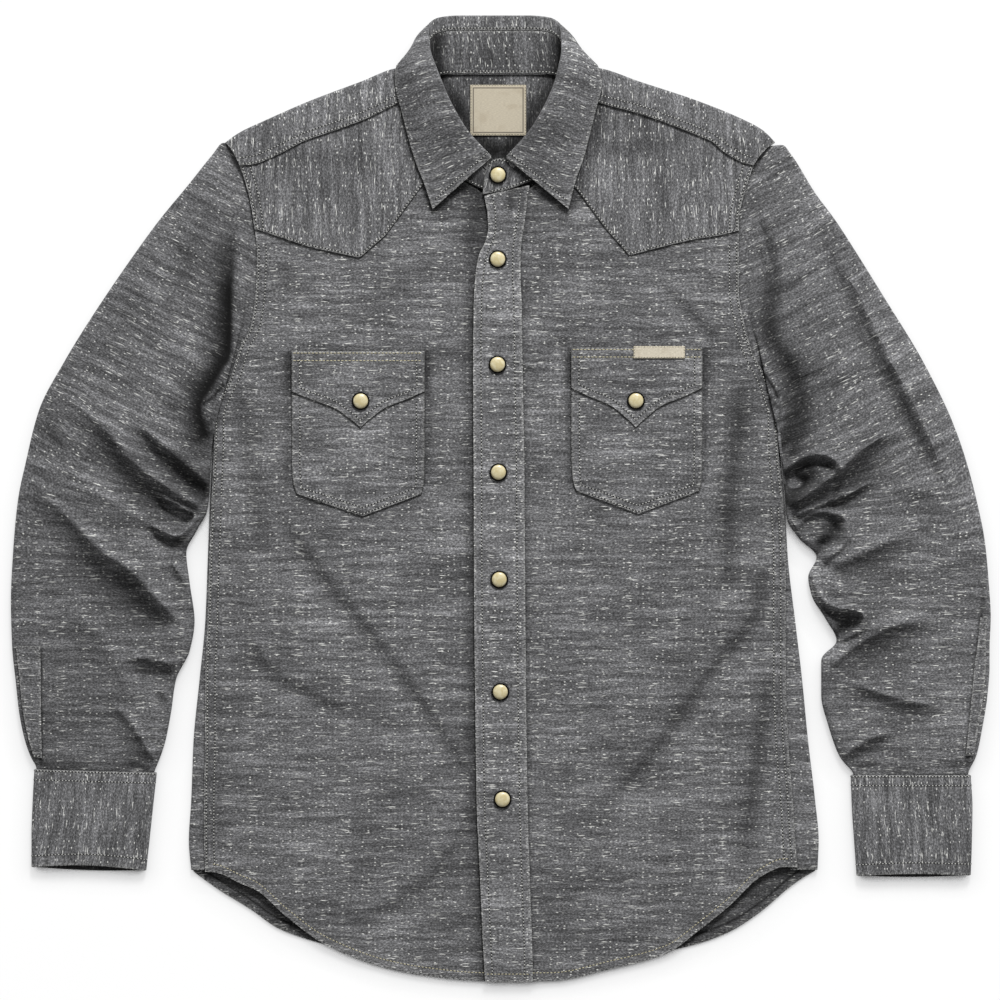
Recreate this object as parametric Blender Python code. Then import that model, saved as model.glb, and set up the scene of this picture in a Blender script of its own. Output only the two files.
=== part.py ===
"""A western snap shirt, laid flat on its back, with every sewn piece as its own closed solid.

The tables and sizes below are in millimetres, and MM turns them into Blender's metres. +X is the
wearer's left, +Y runs to the collar and +Z leaves the surface that the shirt lies on. The origin is
the middle of the shirt's outline, on that surface.
"""

import math
from typing import NamedTuple

import bmesh
import bpy
import numpy
from mathutils import Vector

MM = 0.001

# Cloth and seams
CLOTH = 1.2                   # wall of the body's cloth
SLEEVE_CLOTH = 1.0            # wall of a sleeve
PLIES = 1.6                   # wall of the cuffs and the collar stand, which are made double
LEAF_PLIES = 1.4              # wall of the collar leaf
SEAM = 0.3                    # clear gap between two pieces that touch
LAYER = CLOTH + SEAM          # from the face of one panel to the face of the one that lies on it
LAP = 8.0                     # how far one piece runs on under the edge of the next
LAP_EASE = 3.0                # further width over which the upper piece comes down to it

# Body
FRONT_LIFT = 4.4              # underside of the fronts above the surface
SIDE_ROLL = 2.05              # outer radius of the back where it turns up at the sides
SIDE_LAP = 6.0                # how far the back's turned edge runs on under the side seam
SIDE_EASE = 14.0              # width beside the seams over which the folds of the fronts begin
UNDERARM = 56.0               # where the side seam ends, below the armhole
SHOULDER_ROLL = 3.2           # outer radius of the yoke where it turns over the shoulder
YOKE_TOP = FRONT_LIFT + 2 * LAYER + CLOTH
SWELL = 0.8                   # how far the fronts stand proud in the middle
HEM_SETTLE = 2.2              # how far the front sinks on to the back along the hem
PLACKET_EASE = 8.0            # width over which the left front comes down beside the placket
UNDERLAP = 14.0               # edge of the right front, under the placket
YOKE_INNER = 46.0             # inner edge of the front yokes, from the collar's middle

# Collar
COLLAR_MIDDLE = -3.0
NECK_CENTRE = (0.0, 330.0)
ROLL = 2.0                    # outer radius of the collar where it folds over
SEAM_DROP = 10.5              # from the fold of the collar down to the seam of the leaf
LEAF_GAP = 0.6                # clear gap between stand and leaf, whose walls meet at an angle

# Snaps
SNAP_RADIUS = 6.6
SNAP_SIDES = 12


class Side(NamedTuple):
    """Outline of the body at one height, and the front edge of the side seams."""
    y: float
    right: float
    left: float
    right_seam: float
    left_seam: float


SIDES = (
    Side(y=-315, right=-264, left=268, right_seam=-252, left_seam=251),
    Side(y=-290, right=-266, left=269, right_seam=-253, left_seam=249),
    Side(y=-256, right=-264, left=266, right_seam=-253, left_seam=247),
    Side(y=-205, right=-262, left=260, right_seam=-252, left_seam=243),
    Side(y=-154, right=-257, left=255, right_seam=-252, left_seam=241),
    Side(y=-103, right=-252, left=249, right_seam=-250, left_seam=241),
    Side(y=-52, right=-250, left=243, right_seam=-248.5, left_seam=241),
    Side(y=-1, right=-248, left=240, right_seam=-246.5, left_seam=238.5),
    Side(y=42, right=-246, left=236, right_seam=-244.5, left_seam=234.5),
    Side(y=71, right=-244, left=234, right_seam=-244, left_seam=234),
    Side(y=88, right=-238, left=230, right_seam=-238, left_seam=230),
    Side(y=105, right=-230, left=223, right_seam=-230, left_seam=223),
    Side(y=127, right=-223, left=212, right_seam=-223, left_seam=212),
    Side(y=148, right=-213, left=206, right_seam=-213, left_seam=206),
    Side(y=178, right=-209, left=201, right_seam=-209, left_seam=201),
    Side(y=207, right=-208, left=201, right_seam=-208, left_seam=201),
    Side(y=237, right=-211, left=201, right_seam=-211, left_seam=201),
    Side(y=263, right=-216, left=207, right_seam=-216, left_seam=207),
    Side(y=284, right=-223, left=214, right_seam=-223, left_seam=214),
    Side(y=297, right=-230, left=224, right_seam=-230, left_seam=224),
    Side(y=303, right=-235, left=232, right_seam=-235, left_seam=232),
)


class Point(NamedTuple):
    """A place on an outline: how far it reaches along Y at one place across the shirt."""
    x: float
    y: float


FRONT_HEM = (
    Point(x=-264, y=-315), Point(x=-252, y=-316), Point(x=-242, y=-317), Point(x=-222, y=-326),
    Point(x=-208, y=-332), Point(x=-183, y=-354), Point(x=-150, y=-378), Point(x=-99, y=-398),
    Point(x=-61, y=-405), Point(x=-16, y=-409), Point(x=41, y=-409), Point(x=92, y=-399),
    Point(x=139, y=-386), Point(x=167, y=-366), Point(x=194, y=-344), Point(x=220, y=-320),
    Point(x=240, y=-312), Point(x=268, y=-314),
)
BACK_HEM = (
    Point(x=-265, y=-314), Point(x=-257, y=-320), Point(x=-240, y=-332), Point(x=-214, y=-348),
    Point(x=-189, y=-365), Point(x=-138, y=-382), Point(x=-87, y=-397), Point(x=15, y=-405),
    Point(x=66, y=-400), Point(x=117, y=-389), Point(x=168, y=-377), Point(x=194, y=-367),
    Point(x=219, y=-351), Point(x=245, y=-329), Point(x=258, y=-320), Point(x=269, y=-314),
)
BACK_YOKE_SEAM = (Point(x=-235, y=222), Point(x=-3, y=198), Point(x=235, y=222))
BACK_FLATS = (0, 0.03, 0.07, 0.12, 0.18, 0.25, 0.37, 0.5, 0.63, 0.75, 0.82, 0.88, 0.93, 0.97, 1)

# The top edges of the fronts, under the back yoke and then along the neck. The right front's run
# from the armhole to its edge under the placket, the left front's from the armhole to the placket.
RIGHT_TOP = (
    Point(x=-228, y=293), Point(x=-219, y=294.5), Point(x=-204, y=298), Point(x=-172, y=311),
    Point(x=-140, y=323), Point(x=-112, y=334), Point(x=-88, y=345), Point(x=-70.5, y=353),
    Point(x=-66.5, y=313), Point(x=-60, y=301), Point(x=-54.3, y=289), Point(x=-45, y=279),
    Point(x=-36.8, y=271), Point(x=-25, y=264.5), Point(x=-16, y=258), Point(x=2, y=256),
    Point(x=UNDERLAP, y=256),
)
LEFT_TOP = (
    Point(x=224, y=293), Point(x=215.5, y=294.5), Point(x=202, y=299), Point(x=168, y=316),
    Point(x=137, y=327), Point(x=109, y=336), Point(x=85, y=343), Point(x=65.5, y=353),
    Point(x=61.5, y=313), Point(x=55, y=301), Point(x=49.3, y=289), Point(x=40, y=279.5),
)
UNDER_PLACKET = (Point(x=32, y=270.5), Point(x=24, y=264), Point(x=-14, y=255))
RIGHT_YOKE_SEAM = (
    Point(x=-208, y=229), Point(x=-193, y=224), Point(x=-163, y=214), Point(x=-121, y=205),
    Point(x=-99, y=224), Point(x=-68, y=266), Point(x=-49, y=286),
)
LEFT_YOKE_SEAM = (
    Point(x=201, y=228), Point(x=185, y=224), Point(x=160, y=220), Point(x=139, y=215),
    Point(x=108, y=207), Point(x=88, y=230), Point(x=65, y=261), Point(x=44, y=286),
)


class Shoulder(NamedTuple):
    """One column of the back yoke: the fold over the shoulder and the seam on the front."""
    x: float
    ridge: float
    seam: float


WING_RIGHT = -69.0            # the yoke turns over the shoulders outside these two places
WING_LEFT = 64.0
SHOULDERS = (
    Shoulder(x=-235, ridge=303, seam=283), Shoulder(x=-222, ridge=312, seam=284),
    Shoulder(x=-205, ridge=320, seam=289), Shoulder(x=-164, ridge=338, seam=305),
    Shoulder(x=-119, ridge=355, seam=321), Shoulder(x=-90, ridge=366, seam=335),
    Shoulder(x=WING_RIGHT, ridge=368, seam=345),
    Shoulder(x=-58, ridge=366, seam=345), Shoulder(x=-42, ridge=364.2, seam=345),
    Shoulder(x=-3, ridge=364.2, seam=345), Shoulder(x=37, ridge=364.2, seam=345),
    Shoulder(x=53, ridge=366, seam=345),
    Shoulder(x=WING_LEFT, ridge=368, seam=345), Shoulder(x=83, ridge=366, seam=336),
    Shoulder(x=116, ridge=355, seam=327), Shoulder(x=167, ridge=338, seam=308),
    Shoulder(x=208, ridge=321, seam=290), Shoulder(x=222, ridge=313, seam=285),
    Shoulder(x=232, ridge=303, seam=283),
)


class Edge(NamedTuple):
    """The two long edges of the placket at one height."""
    y: float
    right: float
    left: float


PLACKET = (
    Edge(y=-410.5, right=-14.4, left=26.3), Edge(y=-375, right=-16.4, left=25.5),
    Edge(y=-315, right=-19.0, left=23.4), Edge(y=-256, right=-21.6, left=21.7),
    Edge(y=-163, right=-22.9, left=20.4), Edge(y=-68, right=-23.8, left=19.6),
    Edge(y=20, right=-24.1, left=19.1), Edge(y=118, right=-24.6, left=17.4),
    Edge(y=169, right=-23.8, left=16.6), Edge(y=190, right=-22.5, left=15.7),
    Edge(y=207, right=-19.6, left=15.7), Edge(y=218, right=-14.4, left=16.6),
    Edge(y=229, right=-11.9, left=18.3), Edge(y=241, right=-12.3, left=20.0),
    Edge(y=257, right=-15.0, left=21.7), Edge(y=266, right=-16.1, left=23.4),
)
PLACKET_TOP = (Point(x=-16, y=257.2), Point(x=24, y=266.5))


class Fold(NamedTuple):
    """A soft ridge, or a trough where rise is negative, along a straight line on the cloth."""
    start: tuple
    end: tuple
    width: float
    rise: float


BODY_FOLDS = (
    Fold(start=(-172, -55), end=(-40, -215), width=15, rise=-1.5),
    Fold(start=(-227, -103), end=(-146, -175), width=14, rise=-1.8),
    Fold(start=(-45, -287), end=(-125, -356), width=14, rise=-1.2),
    Fold(start=(215, -90), end=(83, -256), width=15, rise=-1.6),
    Fold(start=(223, -130), end=(200, -300), width=14, rise=-1.9),
    Fold(start=(203, 70), end=(198, -70), width=13, rise=-1.6),
    Fold(start=(-216, 100), end=(-208, -18), width=13, rise=-1.4),
)
RIGHT_SLEEVE_FOLDS = (
    Fold(start=(-232, 241), end=(-237, 131), width=10, rise=-4),
    Fold(start=(-252, 203), end=(-299, 110), width=18, rise=3),
    Fold(start=(-325, 64), end=(-257, 14), width=10, rise=-6),
    Fold(start=(-354, 67), end=(-264, -20), width=10, rise=-8),
    Fold(start=(-384, -31), end=(-278, -107), width=11, rise=-8),
    Fold(start=(-320, -133), end=(-272, -144), width=10, rise=-5),
    Fold(start=(-350, -150), end=(-299, -209), width=11, rise=-4),
    Fold(start=(-333, 97), end=(-257, 37), width=12, rise=4),
    Fold(start=(-376, 16), end=(-269, -69), width=14, rise=6),
    Fold(start=(-376, -69), end=(-267, -128), width=14, rise=5),
    Fold(start=(-376, -137), end=(-290, -184), width=16, rise=3),
)
LEFT_SLEEVE_FOLDS = (
    Fold(start=(221, 241), end=(240, 131), width=10, rise=-4),
    Fold(start=(258, 258), end=(360, 42), width=12, rise=-4),
    Fold(start=(245, 4), end=(284, 37), width=9, rise=-7),
    Fold(start=(258, -16), end=(334, 46), width=10, rise=-8),
    Fold(start=(269, -47), end=(284, -18), width=9, rise=-6),
    Fold(start=(287, -69), end=(377, -42), width=12, rise=-7),
    Fold(start=(286, -115), end=(306, -98), width=10, rise=-7),
    Fold(start=(306, -98), end=(394, -84), width=12, rise=-4),
    Fold(start=(292, -162), end=(381, -181), width=11, rise=-4),
    Fold(start=(283, 169), end=(343, 59), width=18, rise=3),
    Fold(start=(321, 25), end=(398, 8), width=14, rise=5),
    Fold(start=(296, -50), end=(381, -22), width=12, rise=3),
    Fold(start=(287, -86), end=(389, -65), width=12, rise=4),
    Fold(start=(283, -145), end=(398, -128), width=14, rise=4),
)


class Ring(NamedTuple):
    """One section of a flattened tube, from its outer fold to its inner fold.

    bow is how far the section arches away from the straight line between the two folds, base the
    height of its underside, rim its height beside the folds and loft its height in the middle.
    lip moves the edge of the upper layer along Y.
    """
    outer: tuple
    inner: tuple
    bow: float
    base: float
    rim: float
    loft: float
    lip: float = 0.0


RIGHT_SLEEVE = (
    Ring(outer=(-230, 299), inner=(-236, 88), bow=30, base=1.5, rim=2.6, loft=2.6),
    Ring(outer=(-239, 300), inner=(-245, 80), bow=27, base=1.5, rim=2.6, loft=2.6),
    Ring(outer=(-248, 291), inner=(-249.5, 71), bow=29, base=0, rim=5.0, loft=6.5),
    Ring(outer=(-268, 265), inner=(-249.5, 60), bow=27, base=0, rim=6.4, loft=9.0),
    Ring(outer=(-291, 237), inner=(-249, 48), bow=25, base=0, rim=7.0, loft=10.0),
    Ring(outer=(-339, 169), inner=(-250, 22), bow=19, base=0, rim=7.0, loft=11.0),
    Ring(outer=(-371, 118), inner=(-251.5, 2), bow=14, base=0, rim=7.0, loft=12.0),
    Ring(outer=(-393, 76), inner=(-254.5, -12), bow=10, base=0, rim=7.0, loft=13.0),
    Ring(outer=(-404, 33), inner=(-260, -28), bow=6, base=0, rim=7.0, loft=13.5),
    Ring(outer=(-411, -1), inner=(-268, -46), bow=3, base=0, rim=7.0, loft=13.5),
    Ring(outer=(-415, -43), inner=(-265, -72), bow=0, base=0, rim=7.0, loft=13.0),
    Ring(outer=(-417, -86), inner=(-261, -103), bow=0, base=0, rim=7.0, loft=12.5),
    Ring(outer=(-416, -124), inner=(-265, -128), bow=0, base=0, rim=7.0, loft=12.0),
    Ring(outer=(-413, -154), inner=(-277, -154), bow=0, base=0, rim=7.0, loft=11.0),
    Ring(outer=(-410, -181), inner=(-281, -181), bow=0, base=0, rim=7.0, loft=10.5),
    Ring(outer=(-405, -205), inner=(-286, -206), bow=0, base=0, rim=7.0, loft=10.0),
    Ring(outer=(-400, -219), inner=(-291, -221), bow=0, base=0.2, rim=5.6, loft=8.5),
    Ring(outer=(-394.5, -227), inner=(-296, -230), bow=0, base=1.9, rim=3.1, loft=4.5),
    Ring(outer=(-394.5, -238), inner=(-297, -240), bow=0, base=1.9, rim=3.1, loft=4.5),
)
LEFT_SLEEVE = (
    Ring(outer=(222, 299), inner=(230, 88), bow=-34, base=1.5, rim=2.6, loft=2.6),
    Ring(outer=(238, 301), inner=(241, 80), bow=-33, base=1.5, rim=2.6, loft=2.6),
    Ring(outer=(248, 290), inner=(241, 70), bow=-30, base=0, rim=5.0, loft=6.5),
    Ring(outer=(266, 260), inner=(240.5, 58), bow=-28, base=0, rim=6.4, loft=9.0),
    Ring(outer=(283, 237), inner=(240, 46), bow=-26, base=0, rim=7.0, loft=10.0),
    Ring(outer=(326, 169), inner=(241, 22), bow=-20, base=0, rim=7.0, loft=11.0),
    Ring(outer=(357, 118), inner=(242.5, 4), bow=-14, base=0, rim=7.0, loft=12.0),
    Ring(outer=(382, 67), inner=(245, -12), bow=-8, base=0, rim=7.0, loft=13.0),
    Ring(outer=(394, 33), inner=(254, -32), bow=-5, base=0, rim=7.0, loft=13.5),
    Ring(outer=(403, -1), inner=(267, -49), bow=-3, base=0, rim=7.0, loft=13.5),
    Ring(outer=(410, -36), inner=(260, -66), bow=0, base=0, rim=7.0, loft=13.0),
    Ring(outer=(413, -67), inner=(263, -82), bow=0, base=0, rim=7.0, loft=13.0),
    Ring(outer=(415, -100), inner=(275, -102), bow=0, base=0, rim=7.0, loft=12.5),
    Ring(outer=(414, -125), inner=(284, -120), bow=0, base=0, rim=7.0, loft=12.0),
    Ring(outer=(414, -142), inner=(271, -137), bow=0, base=0, rim=7.0, loft=11.5),
    Ring(outer=(412, -168), inner=(271, -166), bow=0, base=0, rim=7.0, loft=11.0),
    Ring(outer=(408, -193), inner=(277, -192), bow=0, base=0, rim=7.0, loft=10.5),
    Ring(outer=(403, -217), inner=(287, -219), bow=0, base=0.2, rim=5.6, loft=8.5),
    Ring(outer=(395, -231), inner=(299, -231), bow=0, base=1.9, rim=3.1, loft=4.5),
    Ring(outer=(395, -242), inner=(300, -242), bow=0, base=1.9, rim=3.1, loft=4.5),
)
RIGHT_CUFF = (
    Ring(outer=(-397, -229), inner=(-293, -232), bow=0, base=0, rim=7.0, loft=8.4),
    Ring(outer=(-398.5, -256), inner=(-296, -259), bow=0, base=0, rim=7.0, loft=8.4),
    Ring(outer=(-399.5, -285), inner=(-299, -287), bow=0, base=0, rim=7.0, loft=8.4),
    Ring(outer=(-399.5, -312), inner=(-302, -315), bow=-1.5, base=0, rim=7.0, loft=8.4, lip=4.5),
)
LEFT_CUFF = (
    Ring(outer=(398, -234), inner=(296, -234), bow=0, base=0, rim=7.0, loft=8.4),
    Ring(outer=(399.5, -262), inner=(297, -262), bow=0, base=0, rim=7.0, loft=8.4),
    Ring(outer=(399, -291), inner=(299, -291), bow=0, base=0, rim=7.0, loft=8.4),
    Ring(outer=(398, -319), inner=(301, -319.5), bow=1.5, base=0, rim=7.0, loft=8.4, lip=3.0),
)


class Slit(NamedTuple):
    """Where a sleeve placket's edge lies across the sleeve at one place along the sleeve's rings."""
    ring: float
    x: float


RIGHT_SLIT = (Slit(ring=12.0, x=-391), Slit(ring=16.0, x=-390))
LEFT_SLIT = (Slit(ring=12.0, x=405), Slit(ring=17.0, x=393))


class Station(NamedTuple):
    """One section through half of the collar: stand's foot, fold, fullness and edge of the leaf.

    turn is the way the fold faces, in degrees: 90 where the stand lies on the leaf, 0 where the
    collar stands upright and -90 where the leaf lies on the stand.
    """
    foot: tuple
    roll: tuple
    belly: tuple
    edge: tuple
    turn: float


COLLAR = (
    Station(foot=(0, 361.5, 3.4), roll=(0, 411, 2),
            belly=(0, 389, 0), edge=(0, 365, 0), turn=90),
    Station(foot=(27.6, 361.5, 3.4), roll=(30, 411, 2),
            belly=(30, 389, 0), edge=(30, 365, 0), turn=90),
    Station(foot=(44.6, 360.6, 3.6), roll=(47.5, 409, 3.5),
            belly=(53, 390, 0), edge=(50, 366, 0), turn=75),
    Station(foot=(55.7, 356.4, 4.6), roll=(57, 399, 11),
            belly=(78.5, 388, 3), edge=(64, 374, 0.2), turn=45),
    Station(foot=(61.6, 347.9, 7), roll=(56.6, 382, 20),
            belly=(76.8, 376, 16), edge=(85, 368, 11), turn=20),
    Station(foot=(64.2, 335, 8), roll=(51.4, 360.6, 26),
            belly=(71, 355, 22), edge=(87.6, 352, 10.5), turn=0),
    Station(foot=(60.8, 314, 8), roll=(41.2, 335, 25),
            belly=(63, 325, 21), edge=(82, 328, 10.5), turn=-15),
    Station(foot=(49.7, 291, 7.4), roll=(26.8, 312, 19),
            belly=(50, 299, 17), edge=(72, 290, 10), turn=-40),
    Station(foot=(32.7, 273, 6.2), roll=(14.9, 299.4, 14),
            belly=(40.6, 282, 13), edge=(64, 268, 9.6), turn=-60),
    Station(foot=(17.4, 264.6, 5), roll=(6.4, 291, 11),
            belly=(32, 268, 11.4), edge=(57.6, 246, 9), turn=-75),
)


class Lean(NamedTuple):
    """How far the collar lies to one side at one height."""
    y: float
    shift: float


COLLAR_LEAN = (
    Lean(y=246, shift=-1.2), Lean(y=275, shift=-2.4), Lean(y=300, shift=-2.8), Lean(y=352, shift=-3),
    Lean(y=373, shift=-4.6), Lean(y=394, shift=-6.2), Lean(y=411, shift=-6.6),
)


class Tab(NamedTuple):
    """One section through an end of the stand, past the leaf: its foot and its upper edge."""
    foot: tuple
    head: tuple


UNDER_TAB = (                 # the right end, which lies under the left one
    Tab(foot=(-9, 262.4, 4.7), head=(-6, 279.5, 5.4)),
    Tab(foot=(2, 261.6, 4.6), head=(2, 284, 5.0)),
    Tab(foot=(10.5, 263.0, 4.6), head=(10.5, 280, 5.0)),
)
OVER_TAB = (                  # the left end, which carries the first snap
    Tab(foot=(17.0, 265.8, 7.0), head=(12.2, 277.6, 7.3)),
    Tab(foot=(4, 261.6, 7.4), head=(2.5, 289, 7.6)),
    Tab(foot=(-9, 259.2, 7.4), head=(-4.5, 288, 7.6)),
    Tab(foot=(-13.5, 258.4, 7.4), head=(-11.5, 277.5, 7.6)),
)


class Pocket(NamedTuple):
    """A chest pocket with its flap: top, lower corners, the pocket's tip and the flap's."""
    side: str
    right: float
    left: float
    top: float
    corner: float
    tip: tuple
    flap_corner: float
    flap_tip: tuple


POCKETS = (
    Pocket(side="right", right=-178.5, left=-65.5, top=125.5, corner=4.5, tip=(-119, -14.5),
           flap_corner=91.5, flap_tip=(-120, 60.6)),
    Pocket(side="left", right=58.5, left=170, top=128.5, corner=7, tip=(114.8, -12.5),
           flap_corner=94.5, flap_tip=(113.5, 60.8)),
)


class Drop(NamedTuple):
    """How much of a flap's point is left at a share of the way from its tip to its corner."""
    share: float
    drop: float


FLAP_DROP = (Drop(share=0, drop=1.0), Drop(share=0.08, drop=0.86), Drop(share=0.18, drop=0.70),
             Drop(share=0.34, drop=0.46), Drop(share=0.55, drop=0.25), Drop(share=0.8, drop=0.08),
             Drop(share=1, drop=0))

SNAPS = (                     # from the collar down
    Point(x=-3.4, y=276.2), Point(x=-3.6, y=204.8), Point(x=-3.8, y=114.8), Point(x=-3.0, y=22.9),
    Point(x=-2.3, y=-68.0), Point(x=-1.4, y=-163.2), Point(x=0.4, y=-254.2),
)
POCKET_TUCK = 2.0             # from the top of a flap down to the pocket's own top under it
POCKET_TAPER = 3.0            # how far a pocket's right edge leans in at its lower corner
FLAP_SNAPS = {"right": Point(x=-119.8, y=83.3), "left": Point(x=113.5, y=83.6)}
NECK_LABEL = (Point(x=-27, y=309), Point(x=20.5, y=352))
POCKET_LABEL = (Point(x=111.5, y=119.5), Point(x=155, y=129.8))
LABEL_CLOTH = 1.0

CLOTH_COLOUR = (0.155, 0.157, 0.163)
LABEL_COLOUR = (0.62, 0.57, 0.45)
CAP_COLOUR = (0.60, 0.52, 0.33)


def smooth(rows, key, value):
    """Return a function that reads a table's column between its rows, with no overshoot."""
    keys = numpy.array([key(row) for row in rows], float)
    values = numpy.array([value(row) for row in rows], float)
    secants = numpy.diff(values) / numpy.diff(keys)
    slopes = numpy.concatenate((secants[:1], secants[1:], secants[-1:]))
    for index in range(1, len(keys) - 1):
        before, after = secants[index - 1], secants[index]
        slopes[index] = 2 * before * after / (before + after) if before * after > 0 else 0.0

    def read(place):
        place = min(max(place, keys[0]), keys[-1])
        index = min(int(numpy.searchsorted(keys, place, side="right")) - 1, len(keys) - 2)
        width = keys[index + 1] - keys[index]
        t = (place - keys[index]) / width
        start = values[index] * (1 + 2 * t) + slopes[index] * width * t
        end = values[index + 1] * (3 - 2 * t) - slopes[index + 1] * width * (1 - t)
        return float(start * (1 - t) ** 2 + end * t ** 2)

    return read


def straight(rows, key, value):
    """Return a function that reads a table's column on straight lines between its rows."""
    keys = [key(row) for row in rows]
    values = [value(row) for row in rows]
    return lambda place: float(numpy.interp(place, keys, values))


def outline(points, reader=straight):
    """Return a function that gives the Y of an outline at any X."""
    ordered = sorted(points)
    return reader(ordered, lambda row: row.x, lambda row: row.y)


def mix(start, end, share):
    """Return the value that lies a share of the way from start to end."""
    return start + (end - start) * share


def ease(place):
    """Return 0 below 0, 1 above 1, and a smooth rise in between."""
    place = min(max(place, 0.0), 1.0)
    return place * place * (3 - 2 * place)


side_right = smooth(SIDES, lambda row: row.y, lambda row: row.right)
side_left = smooth(SIDES, lambda row: row.y, lambda row: row.left)
seam_right = smooth(SIDES, lambda row: row.y, lambda row: row.right_seam)
seam_left = smooth(SIDES, lambda row: row.y, lambda row: row.left_seam)
BACK_SIDES = {-1: (side_right, seam_right), 1: (side_left, seam_left)}
placket_right = smooth(PLACKET, lambda row: row.y, lambda row: row.right)
placket_left = smooth(PLACKET, lambda row: row.y, lambda row: row.left)
front_hem = outline(FRONT_HEM, smooth)
back_hem = outline(BACK_HEM, smooth)
back_yoke_seam = outline(BACK_YOKE_SEAM)
ridge = smooth(SHOULDERS, lambda row: row.x, lambda row: row.ridge)
shoulder_seam = smooth(SHOULDERS, lambda row: row.x, lambda row: row.seam)
flap_drop = smooth(FLAP_DROP, lambda row: row.share, lambda row: row.drop)
collar_lean = straight(COLLAR_LEAN, lambda row: row.y, lambda row: row.shift)


def fold_height(folds, x, y):
    """Return what the folds of a table add to the height of the cloth at one place."""
    total = 0.0
    for fold in folds:
        along = Vector(fold.end) - Vector(fold.start)
        offset = Vector((x, y)) - Vector(fold.start)
        share = min(max(offset.dot(along) / along.length_squared, 0.0), 1.0)
        away = (offset - along * share).length
        total += fold.rise * math.exp(-(away / fold.width) ** 2)
    return total


def front_height(x, y):
    """Return the height of the underside of the fronts above the surface."""
    swell = SWELL * ease((230 - abs(x)) / 120) * ease((y + 360) / 120) * ease((250 - y) / 120)
    settle = HEM_SETTLE * ease((-290 - y) / 100) * ease((190 - abs(x)) / 90)
    inside = min(x - seam_right(y), seam_left(y) - x)
    folds = fold_height(BODY_FOLDS, x, y) * ease((inside - SIDE_LAP - 4) / SIDE_EASE)
    return FRONT_LIFT + swell - settle + folds


def overlap_height(x, y):
    """Return the height of the underside of the left front, which rides up over the right one."""
    return front_height(x, y) + LAYER * ease(1 - (x - placket_left(y) - 1) / PLACKET_EASE)


def material(name, colour, roughness):
    """Return a Principled material of one colour."""
    result = bpy.data.materials.get(name) or bpy.data.materials.new(name)
    result.use_nodes = True
    shader = result.node_tree.nodes["Principled BSDF"]
    shader.inputs["Base Color"].default_value = (*colour, 1.0)
    shader.inputs["Roughness"].default_value = roughness
    shader.inputs["Metallic"].default_value = 0.0
    return result


def add_object(name, bm, finish):
    """Make one named object from a bmesh, which holds metres."""
    bmesh.ops.recalc_face_normals(bm, faces=bm.faces[:])
    mesh = bpy.data.meshes.new(name)
    bm.to_mesh(mesh)
    bm.free()
    mesh.materials.append(finish)
    mesh.shade_smooth()
    mesh.set_sharp_from_angle(angle=math.radians(50))
    piece = bpy.data.objects.new(name, mesh)
    bpy.context.scene.collection.objects.link(piece)
    return piece


def shell(name, across, along, place, wall, finish=None, keep=None, closed=False):
    """Make a wall of cloth over a grid of stations.

    place(a, b) gives a point on one face, in millimetres, and the direction to the other face.
    keep(a, b) says whether the cell that starts at those two indices is there, and closed joins
    the last row of stations to the first, which makes a tube.
    """
    columns, rows = len(across) - 1, len(along) - 1
    bm = bmesh.new()
    bmesh.ops.create_grid(bm, x_segments=columns, y_segments=rows, size=0.5)
    station = bm.verts.layers.float_vector.new("station")
    for vert in bm.verts:
        vert[station] = (round((vert.co.x + 0.5) * columns), round((vert.co.y + 0.5) * rows), 0)
    if keep:
        gone = [face for face in bm.faces
                if not keep(*(int(min(vert[station][axis] for vert in face.verts)) for axis in (0, 1)))]
        bmesh.ops.delete(bm, geom=gone, context="FACES")

    def move(verts, depth):
        for vert in verts:
            column, row = (int(value) for value in vert[station][:2])
            point, inward = place(across[column], along[row])
            vert.co = (Vector(point) + Vector(inward) * depth) * MM

    move(bm.verts, 0.0)
    if closed:
        bmesh.ops.remove_doubles(bm, verts=bm.verts[:], dist=0.01 * MM)
    made = bmesh.ops.extrude_face_region(bm, geom=bm.faces[:], use_keep_orig=True)["geom"]
    move([item for item in made if isinstance(item, bmesh.types.BMVert)], wall)
    return add_object(name, bm, finish or material("chambray", CLOTH_COLOUR, 0.9))


def steps(start, end, count):
    """Return count + 1 evenly spaced values from start to end."""
    return [mix(start, end, index / count) for index in range(count + 1)]


def back_strip(side, y, kind, value):
    """Return X and Z on a side of the back where it is turned up, and the direction inward.

    side is -1 for the right and 1 for the left. value is a share of the way across the strip on
    the front, or the angle turned round the roll.
    """
    edge, seam = (read(y) for read in BACK_SIDES[side])
    centre = edge - side * SIDE_ROLL
    if kind == "strip":
        return (mix(seam - side * SIDE_LAP, centre, value), 2 * SIDE_ROLL), (0, -1)
    out, up = math.sin(math.radians(value)), math.cos(math.radians(value))
    return (centre + side * SIDE_ROLL * out, SIDE_ROLL * (1 + up)), (-side * out, -up)


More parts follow.
